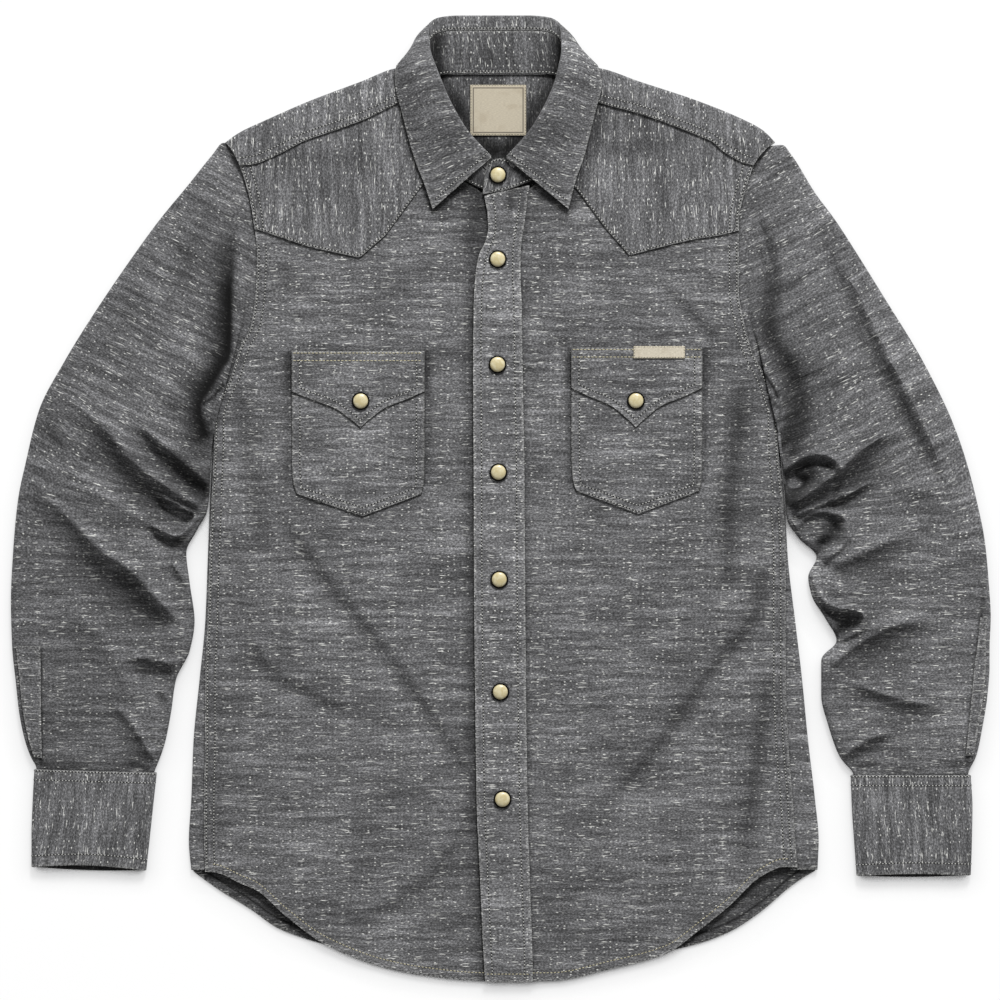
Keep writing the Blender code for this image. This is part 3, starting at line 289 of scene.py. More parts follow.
RIGHT_SLIT = table(Slit, (12.0, -391), (16.0, -390))
LEFT_SLIT = table(Slit, (12.0, 405), (17.0, 393))
COLLAR = table(Station,
    ((0, 361.5, 3.4), (0, 411, 2), (0, 389, 0), (0, 365, 0), 90),
    ((27.6, 361.5, 3.4), (30, 411, 2), (30, 389, 0), (30, 365, 0), 90),
    ((44.6, 360.6, 3.6), (47.5, 409, 3.5), (53, 390, 0), (50, 366, 0), 75),
    ((55.7, 356.4, 4.6), (57, 399, 11), (78.5, 388, 3), (64, 374, 0.2), 45),
    ((61.6, 347.9, 7), (56.6, 382, 20), (76.8, 376, 16), (85, 368, 11), 20),
    ((64.2, 335, 8), (51.4, 360.6, 26), (71, 355, 22), (87.6, 352, 10.5), 0),
    ((60.8, 314, 8), (41.2, 335, 25), (63, 325, 21), (82, 328, 10.5), -15),
    ((49.7, 291, 7.4), (26.8, 312, 19), (50, 299, 17), (72, 290, 10), -40),
    ((32.7, 273, 6.2), (14.9, 299.4, 14), (40.6, 282, 13), (64, 268, 9.6), -60),
    ((17.4, 264.6, 5), (6.4, 291, 11), (32, 268, 11.4), (57.6, 246, 9), -75),
)
COLLAR_LEAN = table(Point,
    (246, -1.2), (275, -2.4), (300, -2.8), (352, -3), (373, -4.6), (394, -6.2), (411, -6.6),
)
UNDER_TAB = table(Tab,
    ((-9, 262.4, 4.7), (-6, 279.5, 5.4)), ((2, 261.6, 4.6), (2, 284, 5.0)),
    ((10.5, 263.0, 4.6), (10.5, 280, 5.0)),
)
OVER_TAB = table(Tab,
    ((17.0, 265.8, 7.0), (13.4, 286.0, 7.3)), ((4, 261.6, 7.4), (2.5, 289, 7.6)),
    ((-9, 259.2, 7.4), (-4.5, 288, 7.6)), ((-13.5, 258.4, 7.4), (-11.5, 277.5, 7.6)),
)
FLAP_DROP = table(Point,
    (0, 1.0), (0.08, 0.86), (0.2, 0.69), (0.34, 0.5), (0.45, 0.4), (0.6, 0.3), (0.75, 0.2),
    (0.9, 0.08), (1, 0),
)
SNAPS = table(Point,
    (-3.4, 274.9), (-3.6, 203.5), (-3.8, 114.3), (-3.0, 22.9), (-2.3, -68.0), (-1.4, -163.2),
    (0.4, -254.2),
)


# Readers of the tables

class Smooth:
    """A table's column, read between its rows on a curve with no overshoot."""

    def __init__(self, keys: Sequence[float], values: Sequence[float]) -> None:
        """Work out the curve's slope at each row."""
        self.keys = np.array(keys, float)
        self.values = np.array(values, float)
        secants = np.diff(self.values) / np.diff(self.keys)
        before, after = secants[:-1], secants[1:]
        total = np.where(before + after == 0, 1.0, before + after)
        inner = np.where(before * after > 0, 2 * before * after / total, 0.0)
        self.slopes = np.concatenate((secants[:1], inner, secants[-1:]))

    def __call__(self, place: Number) -> Array:
        """Read the column at one or more places."""
        place = np.clip(place, self.keys[0], self.keys[-1])
        index = np.searchsorted(self.keys, place, side="right") - 1
        index = np.clip(index, 0, len(self.keys) - 2)
        width = self.keys[index + 1] - self.keys[index]
        t = (place - self.keys[index]) / width
        start = self.values[index] * (1 + 2 * t) + self.slopes[index] * width * t
        end = self.values[index + 1] * (3 - 2 * t) - self.slopes[index + 1] * width * (1 - t)
        return start * (1 - t) ** 2 + end * t ** 2


def read_columns(rows: Sequence[NamedTuple], key: str, *names: str) -> list[Smooth]:
    """Return a smooth reader of each named column of a table.

    Args:
        rows: the table.
        key: the column by which it is read.
        names: the columns that are read.

    Returns:
        The readers in the order of the names.
    """
    keys = [getattr(row, key) for row in rows]
    return [Smooth(keys, [getattr(row, name) for row in rows]) for name in names]


def straight(keys: Sequence[float], values: Sequence[float]) -> Reader:
    """Return a reader of a table's column on straight lines between its rows."""
    return lambda place: np.interp(place, keys, values)


def outline(points: Iterable[Point], reader: Callable = straight) -> Reader:
    """Return a reader that gives the Y of an outline at any X."""
    ordered = sorted(points)
    return reader([row.x for row in ordered], [row.y for row in ordered])


def mix(start: Number, end: Number, share: Number) -> Number:
    """Return the value that lies a share of the way from start to end."""
    return start + (end - start) * share


def ease(place: Number) -> Array:
    """Return 0 below 0, 1 above 1, and a smooth rise in between."""
    place = np.clip(place, 0.0, 1.0)
    return place * place * (3 - 2 * place)


def fill(values: Sequence[float], step: float) -> Array:
    """Return the values with even steps between each two of them.

    Args:
        values: places that the result keeps.
        step: widest step that is left between two places.

    Returns:
        The places in order.
    """
    places = [float(values[0])]
    for start, end in zip(values, values[1:]):
        count = max(int(math.ceil(abs(end - start) / step)), 1)
        places += [mix(start, end, (number + 1) / count) for number in range(count)]
    return np.array(places)


side_right, side_left, seam_right, seam_left = read_columns(
    SIDES, "y", "right", "left", "right_seam", "left_seam")
placket_right, placket_left = read_columns(PLACKET, "y", "right", "left")
ridge, shoulder_seam = read_columns(SHOULDERS, "x", "ridge", "seam")
front_hem = outline(FRONT_HEM, Smooth)
back_hem = outline(BACK_HEM, Smooth)
back_yoke_seam = outline(BACK_YOKE_SEAM)
flap_drop = outline(FLAP_DROP, Smooth)
collar_lean = outline(COLLAR_LEAN)
BACK_SIDES = {-1: (side_right, seam_right), 1: (side_left, seam_left)}


# Folds and unevenness of the cloth

@dataclass(frozen=True)
class Fold:
    """A soft ridge, or a trough where rise is negative, along a line on the cloth.

    bend bows the line to its left, and thin lets the fold fade to nothing at both ends.
    """

    start: Pair
    end: Pair
    width: float
    rise: float
    bend: float = 0.0
    thin: bool = False

    def height(self, x: Array, y: Array) -> Array:
        """Return what the fold adds to the cloth.

        Args:
            x: place across the shirt.
            y: place along the shirt.

        Returns:
            Height at each place.
        """
        start = np.array(self.start)
        run = np.array(self.end) - start
        squared = float(run @ run)
        offset_x, offset_y = x - start[0], y - start[1]
        share = np.clip((offset_x * run[0] + offset_y * run[1]) / squared, 0.0, 1.0)
        bow = self.bend * 4 * share * (1 - share) / math.sqrt(squared)
        away_x = offset_x - run[0] * share + run[1] * bow
        away_y = offset_y - run[1] * share - run[0] * bow
        away = np.hypot(away_x, away_y)
        fade = np.sqrt(np.clip(4 * share * (1 - share), 0.0, 1.0)) if self.thin else 1.0
        return self.rise * fade * np.exp(-(away / self.width) ** 2)


@dataclass(frozen=True)
class Crease:
    """A fold along a curve through points: a drop from its left side to its right one.

    rise is what the cloth gains on the line itself, and fade how long the fold takes to grow at
    its start and to die out at its end. spread is how much further it reaches on its lower side.
    """

    points: tuple[Pair, ...]
    width: float
    drop: float = 0.0
    rise: float = 0.0
    fade: Pair = (22.0, 8.0)
    spread: float = 2.3

    def path(self) -> Array:
        """Return points along the curve."""
        points = np.array(self.points)
        way = np.concatenate(([0.0], np.cumsum(np.hypot(*np.diff(points, axis=0).T))))
        places = fill(way, 7.0)
        return np.stack([Smooth(way, points[:, axis])(places) for axis in (0, 1)], axis=1)

    def height(self, x: Array, y: Array) -> Array:
        """Return what the fold adds to the cloth.

        Args:
            x: place across the shirt.
            y: place along the shirt.

        Returns:
            Height at each place.
        """
        nearest = np.full(np.broadcast(x, y).shape, np.inf)
        side, place = np.zeros_like(nearest), np.zeros_like(nearest)
        travelled = 0.0
        path = self.path()
        for (start_x, start_y), (end_x, end_y) in zip(path, path[1:]):
            run_x, run_y = end_x - start_x, end_y - start_y
            length = math.hypot(run_x, run_y)
            share = ((x - start_x) * run_x + (y - start_y) * run_y) / length ** 2
            share = np.clip(share, 0.0, 1.0)
            away_x, away_y = x - start_x - run_x * share, y - start_y - run_y * share
            away = np.hypot(away_x, away_y)
            near = away < nearest
            side = np.where(near, np.sign(run_x * away_y - run_y * away_x), side)
            place = np.where(near, travelled + length * share, place)
            nearest = np.where(near, away, nearest)
            travelled += length
        grown = ease(place / self.fade[0]) * ease((travelled - place) / self.fade[1])
        reach = self.width * np.where(side > 0, 0.75, 0.75 * self.spread) * (0.55 + 0.45 * grown)
        beside = nearest / reach
        return grown * np.exp(-beside ** 2) * (self.drop * 1.17 * side * beside + self.rise)


def shadow(points: tuple[Pair, ...], width: float, depth: float,
           fade: Pair = (12.0, 12.0), spread: float = 1.0) -> Crease:
    """Return a soft dark line: where cloth is hidden from the light in a dip or under an edge.

    Args:
        points: the line.
        width: its reach to each side.
        depth: how dark it is, 0 to 1.
        fade: how long it takes to grow at its start and to die out at its end.
        spread: how much further it reaches on its right side.

    Returns:
        The line, whose height is how dark it is.
    """
    return Crease(points, width, 0.0, depth, fade, spread)


def dimness(shadows: Sequence[Crease], x: Array, y: Array) -> Array:
    """Return how dark a set of shadows makes the cloth, 0 to 1, at each place."""
    lit = np.ones(np.broadcast(x, y).shape)
    for dark in shadows:
        lit = lit * (1 - dark.height(x, y))
    return 1 - lit


def fold_height(folds: Sequence[Fold | Crease], x: Array, y: Array) -> Array:
    """Return what a set of folds adds to the height of the cloth at each place."""
    total = np.zeros(np.broadcast(x, y).shape)
    for fold in folds:
        total = total + fold.height(x, y)
    return total


@dataclass(frozen=True)
class Ripple:
    """Soft unevenness of cloth: a sum of waves in seeded directions."""

    seed: int
    rise: float
    shortest: float
    longest: float
    count: int = 14

    def __call__(self, x: Array, y: Array) -> Array:
        """Return the height of the waves at each place."""
        chance = np.random.default_rng(self.seed)
        total = np.zeros(np.broadcast(x, y).shape)
        for _ in range(self.count):
            length = chance.uniform(self.shortest, self.longest)
            angle, phase = chance.uniform(0, math.tau, 2)
            turned = (x * math.cos(angle) + y * math.sin(angle)) * math.tau / length
            total = total + np.sin(turned + phase)
        return self.rise * total / math.sqrt(self.count)


BODY_FOLDS = table(Fold,
    ((-172, -55), (-40, -215), 15, -1.5), ((-227, -103), (-146, -175), 14, -1.8),
    ((-45, -287), (-125, -356), 14, -1.2), ((215, -90), (83, -256), 15, -1.6),
    ((223, -130), (200, -300), 14, -1.9), ((203, 70), (198, -70), 13, -1.6),
    ((-216, 100), (-208, -18), 13, -1.4),
)
BODY_CREASES = table(Crease,
    (((-196, 0), (-143, -74), (-95, -131), (-61, -182), (-27, -233)), 7, 2.4, 0, (50, 10)),
    (((-222, -112), (-192, -148), (-163, -165), (-120, -182)), 8, 2.6, 0, (20, 40)),
    (((206, 110), (197, 45), (191, -6), (194, -64)), 8, 2.8, 0, (40, 30)),
    (((80, -266), (126, -216), (154, -176), (188, -131), (217, -91),
     (222, -56)), 8, 2.6, 0, (50, 12)),
    (((228, -146), (217, -222), (202, -312)), 8, 2.8, 0, (20, 20)),
    (((-142, -366), (-90, -341), (-55, -312), (-24, -268)), 9, 2, 0, (40, 8)),
    (((131, 188), (160, 161), (186, 132)), 6, 2.2, 0, (12, 14)),
)
BODY_CREASES += table(Fold,
    ((-36, 190), (-34, -330), 7, -1), ((-31, 215), (-28, 130), 6, -0.8),
    ((-205, 120), (-196, 30), 5, -0.7, 3, True), ((-190, 60), (-120, -60), 7, 0.7, 6, True),
    ((-150, -90), (-60, -190), 6, 0.8, -8, True), ((-200, -190), (-90, -260), 7, 0.6, 8, True),
    ((186, 110), (190, 20), 5, -0.8, -4, True), ((214, 30), (206, -90), 6, 0.8, 5, True),
    ((190, -60), (110, -170), 7, 0.8, -8, True), ((215, -180), (196, -330), 6, 0.9, 4, True),
    ((130, -230), (60, -340), 7, -0.7, 6, True), ((60, -100), (40, -230), 8, -0.5, 4, True),
    ((-60, 190), (-130, 150), 7, -0.5, 4, True), ((70, 190), (130, 150), 7, -0.5, -4, True),
    ((110, 230), (150, 170), 8, -0.7, 3, True), ((-210, 210), (-150, 150), 7, -0.6, 4, True),
)
RIGHT_SLEEVE_FOLDS = table(Crease,
    (((-222, 256), (-229, 222), (-233, 178), (-234, 132), (-242, 108),
     (-256, 82)), 6, 0, -4.2, (60, 12), 1.8),
    (((-231, 116), (-240, 101), (-250, 84), (-249, 66), (-244, 54)), 4, 0, 2.6, (6, 6), 1),
    (((-238, 262), (-247, 200), (-254, 150), (-264, 110), (-282, 76)), 12, 0, 4),
    (((-372, 84), (-353, 70), (-336, 55), (-322, 36), (-299, 16), (-279, 3),
     (-256, -10)), 9, 12, 0, (70, 6), 3),
    (((-326, 66), (-305, 57), (-288, 42), (-268, 25), (-244, 4)), 8, 10, -2, (50, 6), 2),
    (((-298, 6), (-280, -4), (-260, -15)), 3.5, 7, 0, (16, 4), 2),
    (((-306, -18), (-290, -28), (-277, -34), (-264, -27), (-254, -16)), 5, 10, 0, (24, 5), 2),
    (((-404, 26), (-390, 2), (-367, -20), (-342, -46), (-316, -64), (-296, -86),
     (-274, -108)), 9, 12, 0, (100, 22), 3.2),
    (((-372, 22), (-346, 4), (-322, -12), (-296, -24)), 12, 5, 2, (40, 20)),
    (((-330, -141), (-306, -137), (-288, -140), (-264, -150)), 5, 6, 0, (30, 5), 3),
    (((-338, -166), (-316, -192), (-296, -224)), 6, 6, 0, (40, 6), 3),
    (((-372, -92), (-346, -120), (-328, -150), (-318, -172)), 14, 4, 0, (36, 26)),
    (((-402, 96), (-384, 62), (-370, 32)), 13, 6, 0, (30, 26)),
    (((-282, -52), (-274, -64), (-258, -76)), 5, 6, 0, (10, 4)),
    (((-294, -160), (-282, -172), (-270, -184)), 4, 4, 0, (8, 4)),
    (((-318, 196), (-300, 150), (-292, 110)), 14, 3, 0, (30, 40)),
)
LEFT_SLEEVE_FOLDS = table(Crease,
    (((208, 270), (216, 240), (226, 208), (230, 178), (226, 146),
     (236, 116)), 8, 0, -5, (70, 14), 1.4),
    (((234, 130), (244, 104), (252, 78), (248, 52), (236, 30)), 12, 0, -6, (24, 8), 1.2),
    (((226, 92), (234, 80), (232, 62)), 4, 0, 1.6, (5, 5), 1),
    (((246, 240), (256, 196), (258, 150), (272, 104)), 12, 0, 4),
    (((253, 263), (296, 178), (322, 124), (338, 92), (354, 59),
     (386, -8)), 6.5, 8.5, 0, (150, 90), 2),
    (((232, 16), (250, 30), (266, 36), (278, 33), (284, 25), (282, 12)), 4.5, 10, 0, (6, 12), 1.6),
    (((234, 16), (252, 14), (266, 16)), 9, 0, -8, (4, 14), 1.2),
    (((240, -12), (263, 3), (283, 18), (303, 36), (323, 50), (350, 57)), 8, 13, 0, (6, 60), 3.2),
    (((248, -16), (274, -5), (297, 4), (320, 18)), 4, 7, 0, (6, 24), 2.2),
    (((244, -34), (260, -18), (275, -13), (288, -19), (288, -32),
     (268, -50)), 6, 11, 0, (6, 6), 1.7),
    (((278, -62), (308, -49), (331, -38), (362, -30)), 10, 7, 0, (10, 36), 2.4),
    (((256, -62), (269, -86), (285, -95), (297, -96), (304, -100), (303, -107), (293, -113),
     (276, -124)), 5, 10, 0, (6, 12), 1.7),
    (((278, -146), (297, -130), (320, -116), (343, -108), (370, -104)), 9, 8, 0, (10, 40), 2.4),
    (((284, -154), (314, -165), (343, -173), (376, -178)), 6, 6, 0, (26, 30), 3),
    (((288, -222), (314, -205), (336, -198)), 6, 6, 0, (6, 20), 2.4),
    (((330, 10), (352, 2), (378, 0)), 14, 4, 0, (20, 20)),
)
BODY_SHADOWS = table(shadow,
    (((-196, 0), (-143, -74), (-95, -131), (-61, -182), (-27, -233)), 9, 0.24, (50, 6)),
    (((-222, -112), (-192, -148), (-163, -165), (-120, -182)), 11, 0.36, (20, 40)),
    (((-224, 112), (-216, 50), (-204, -26), (-196, -50)), 13, 0.36, (30, 30)),
    (((207, 112), (198, 45), (192, -6), (190, -90)), 14, 0.54, (40, 40)),
    (((-181, 127), (-182, 60), (-181, 8)), 4.5, 0.34, (2, 6)),
    (((-64, 127), (-63, 60), (-65, 8)), 4.5, 0.34, (2, 6)),
    (((57, 129), (57, 60), (58, 8)), 4.5, 0.34, (2, 6)),
    (((171, 129), (172, 60), (170, 8)), 4.5, 0.34, (2, 6)),
    (((80, -266), (126, -216), (154, -176), (188, -131), (217, -91),
     (223, -52)), 11, 0.4, (40, 12)), (((228, -142), (217, -222), (202, -314)), 11, 0.4, (20, 16)),
    (((-22, -262), (-55, -312), (-90, -341), (-142, -366)), 12, 0.28, (6, 40)),
    (((131, 188), (160, 161), (186, 132)), 9, 0.26, (12, 12)),
    (((-240, -190), (-243, -300)), 14, 0.26, (20, 20)),
    (((-180, 128), (-180, 86)), 6, 0.42, (4, 16)), (((-64, 128), (-64, 84)), 6, 0.42, (4, 16)),
    (((57, 131), (57, 86)), 7, 0.42, (4, 16)), (((172, 131), (172, 82)), 9, 0.5, (4, 20)),
    (((-61, 242), (-44, 258), (-16, 274)), 12, 0.6, (6, 4)),
    (((61, 242), (36, 262), (6, 284)), 13, 0.66, (6, 4)),
    (((-28, 268), (-24, 238), (-29, 196)), 13, 0.56, (4, 30)),
    (((-92, 348), (-78, 300), (-61, 248)), 7, 0.3), (((87, 352), (75, 300), (61, 244)), 11, 0.46),
    (((-22, 273), (-20, 257), (-17, 234)), 4.5, 0.44, (6, 16)),
    (((84, 296), (120, 300), (164, 311)), 10, 0.34),
    (((-196, 288), (-150, 290), (-96, 280)), 10, 0.28),
    (((221, 107), (228, 98), (235, 84)), 2.6, 0.6, (2, 3)),
)
TAB_SHADOWS = table(shadow,
    (((0, 290), (8, 283), (16, 275), (28, 266)), 6, 0.72, (3, 3)),
    (((14, 262), (22, 268)), 8, 0.5, (3, 3)),
)
PLACKET_SHADOWS = table(shadow,
    (((16, 276), (10, 264), (7, 250), (4, 234)), 7, 0.6, (3, 16)),
    (((15, 272), (18.5, 256), (14, 232)), 4.5, 0.46, (3, 12)),
    (((-26, 268), (-20, 262), (-8, 268), (6, 274)), 3.5, 0.4, (3, 6)),
    (((-24, 258), (-26, 238)), 3, 0.24, (4, 10)),
)
NECK_SHADOWS = table(shadow,
    (((-58, 402), (-57, 378), (-53, 358), (-40, 336), (-20, 308), (-5, 290)), 12, 0.78, (8, 3)),
    (((50, 402), (49, 376), (45, 356), (31, 334), (12, 306), (-3, 290)), 13, 0.76, (8, 3)),
    (((-24, 298), (-3, 296), (18, 298)), 13, 0.6, (8, 8)), (((-35, 356), (-37, 318)), 5, 0.4),
    (((-43, 352), (-42, 326)), 5, 0.3), (((-52, 357), (45, 357)), 6, 0.12, (4, 4)),
    (((-54, 404), (-53, 376)), 7, 0.46, (2, 8)), (((49, 404), (48, 376)), 7, 0.34, (2, 8)),
    (((-46, 372), (38, 372)), 6, 0.16, (9, 9)),
)
RIGHT_SLEEVE_SHADOWS = table(shadow,
    (((-229, 234), (-229.6, 200), (-230.6, 178), (-231, 140), (-232, 121), (-237, 112.7),
     (-246.3, 95.7), (-256.2, 79.6), (-253, 62), (-246.5, 46)), 3.4, 0.96, (60, 10), 5),
    (((-230, 240), (-234, 178), (-235, 118), (-262, 78)), 13, 0.34, (30, 12), 2),
    (((-238.3, 99.7), (-236, 96.6), (-241.6, 91.2), (-243.4, 87.2), (-251, 82.7),
     (-254.8, 78.7)), 1.9, 0.9, (2, 3)), (((-244.9, 69.2), (-249.1, 60.7)), 3, 0.55, (3, 3)),
    (((-262, 86), (-256, 60), (-250, 30)), 17, 0.5, (24, 8)),
    (((-290, 46), (-266, 24), (-246, 4)), 18, 0.72, (24, 2)),
    (((-284, -34), (-270, -40), (-258, -48)), 8, 0.55, (8, 2)),
    (((-272, -14), (-250, -2)), 9, 0.4, (8, 2)),
    (((-330, -60), (-300, -92), (-276, -110)), 12, 0.36, (24, 8)),
    (((-316, -144), (-276, -148)), 9, 0.36, (14, 6)),
    (((-394, 96), (-364, 50)), 17, 0.3, (20, 20)),
    (((-352, 62), (-312, 18), (-278, -2)), 17, 0.34, (24, 10)),
    (((-404, 10), (-352, -54), (-300, -108)), 24, 0.24, (40, 20)),
    (((-400, -110), (-350, -170), (-300, -222)), 20, 0.14, (40, 10)),
    (((-391, -116), (-391, -227)), 1.7, 0.8, (24, 2)),
    (((-322, -223), (-308, -226), (-298, -230)), 4, 0.6, (8, 3)),
    (((-392, -224), (-380, -227)), 4, 0.4, (3, 8)),
    (((-244, 268), (-258, 226), (-276, 184), (-296, 140)), 13, 0.2, (20, 50)),
    (((-290, 210), (-322, 150), (-344, 110)), 15, 0.14, (30, 40)),
)
LEFT_SLEEVE_SHADOWS = table(shadow,
    (((209, 260), (219, 229), (229, 178), (227, 138), (240.6, 115.8), (251.6, 86.9), (254, 67.4),
     (240.6, 36)), 17, 0.6, (110, 6)), (((233, 100), (244, 70), (238, 36)), 10, 0.5, (20, 6)),
    (((270, 30), (254, 14), (243, -8)), 17, 0.84, (10, 3)),
    (((284, -16), (276, -29), (264, -46)), 10, 0.66, (6, 3)),
    (((298, -100), (287, -109), (276, -122)), 9, 0.66, (9, 3)),
    (((290, 162), (340, 82), (378, 8)), 12, 0.3, (60, 40)),
    (((256, -8), (300, 26), (338, 48)), 17, 0.34, (16, 30)),
    (((244, 230), (252, 180), (262, 130)), 16, 0.24, (30, 30)),
    (((288, -60), (330, -44)), 12, 0.16, (16, 20)),
    (((290, -136), (340, -114)), 12, 0.18, (16, 20)),
    (((221, 107), (228, 98), (235, 84)), 2.6, 0.9, (2, 3)),
    (((229, 82), (236, 76), (233, 66)), 2.4, 0.5, (3, 3)),
    (((411, -58), (406, -110), (400, -180), (394.4, -229)), 1.8, 0.66, (30, 2), 2),
    (((298, -228), (308, -225), (322, -223)), 4, 0.55, (3, 8)),
    (((376, -227), (392, -224)), 4, 0.45, (8, 3)),
    (((262, 250), (296, 196), (330, 140)), 14, 0.14, (30, 40)),
)
BODY_RIPPLE = Ripple(seed=3, rise=0.22, shortest=28, longest=90)
FACE_RIPPLE = Ripple(seed=11, rise=0.05, shortest=7, longest=16, count=18)


def front_height(x: Array, y: Array) -> Array:
    """Return the height of the underside of the fronts above the surface.

    Args:
        x: place across the shirt.
        y: place along the shirt.

    Returns:
        Height at each place.
    """
    swell = SWELL * ease((230 - abs(x)) / 120) * ease((y + 360) / 120) * ease((250 - y) / 120)
    settle = HEM_SETTLE * ease((-290 - y) / 100) * ease((190 - abs(x)) / 90)
    inside = np.minimum(x - seam_right(y), seam_left(y) - x)
    free = ease((inside - SIDE_LAP - 4) / SIDE_EASE)
    folds = fold_height(BODY_FOLDS, x, y) + fold_height(BODY_CREASES, x, y) + BODY_RIPPLE(x, y)
    return np.maximum(FRONT_LIFT + swell - settle + folds * free, CLOTH + 0.5)


def overlap_height(x: Array, y: Array) -> Array:
    """Return the height of the underside of the left front, over the right one."""
    return front_height(x, y) + LAYER * ease(1 - (x - placket_left(y) - 1) / PLACKET_EASE)


# Shader maths

def arithmetic(operation: str, reflected: bool = False) -> Callable:
    """Return an operator for Wire, which adds a Math node.

    Args:
        operation: the node's operation.
        reflected: whether the wire stands on the operator's right.

    Returns:
        The operator's method.
    """
    def operate(self: Wire, other: Wire | float) -> Wire:
        """Return the result of the operation."""
        return self.board.math(operation, *((other, self) if reflected else (self, other)))
    return operate


class Wire:
    """A socket's value. Arithmetic on it adds Math nodes to its tree."""

    __add__, __radd__ = arithmetic("ADD"), arithmetic("ADD", reflected=True)
    __sub__, __rsub__ = arithmetic("SUBTRACT"), arithmetic("SUBTRACT", reflected=True)
    __mul__, __rmul__ = arithmetic("MULTIPLY"), arithmetic("MULTIPLY", reflected=True)

    def __init__(self, board: Board, socket: bpy.types.NodeSocket) -> None:
        """Keep the tree and the socket."""
        self.board = board
        self.socket = socket

    def beside(self, output: str) -> Wire:
        """Return another output of the node that this value comes from."""
        return Wire(self.board, self.socket.node.outputs[output])

    def between(self, low: float, high: float) -> Wire:
        """Return a smooth rise from 0 at low to 1 at high."""
        return self.board.node(
            "ShaderNodeMapRange", {"interpolation_type": "SMOOTHSTEP"},
            {"Value": self, "From Min": low, "From Max": high, "To Min": 0.0, "To Max": 1.0},
            "Result")

    def sine(self) -> Wire:
        """Return the sine."""
        return self.board.math("SINE", self)

    def magnitude(self) -> Wire:
        """Return the value without its sign."""
        return self.board.math("ABSOLUTE", self)


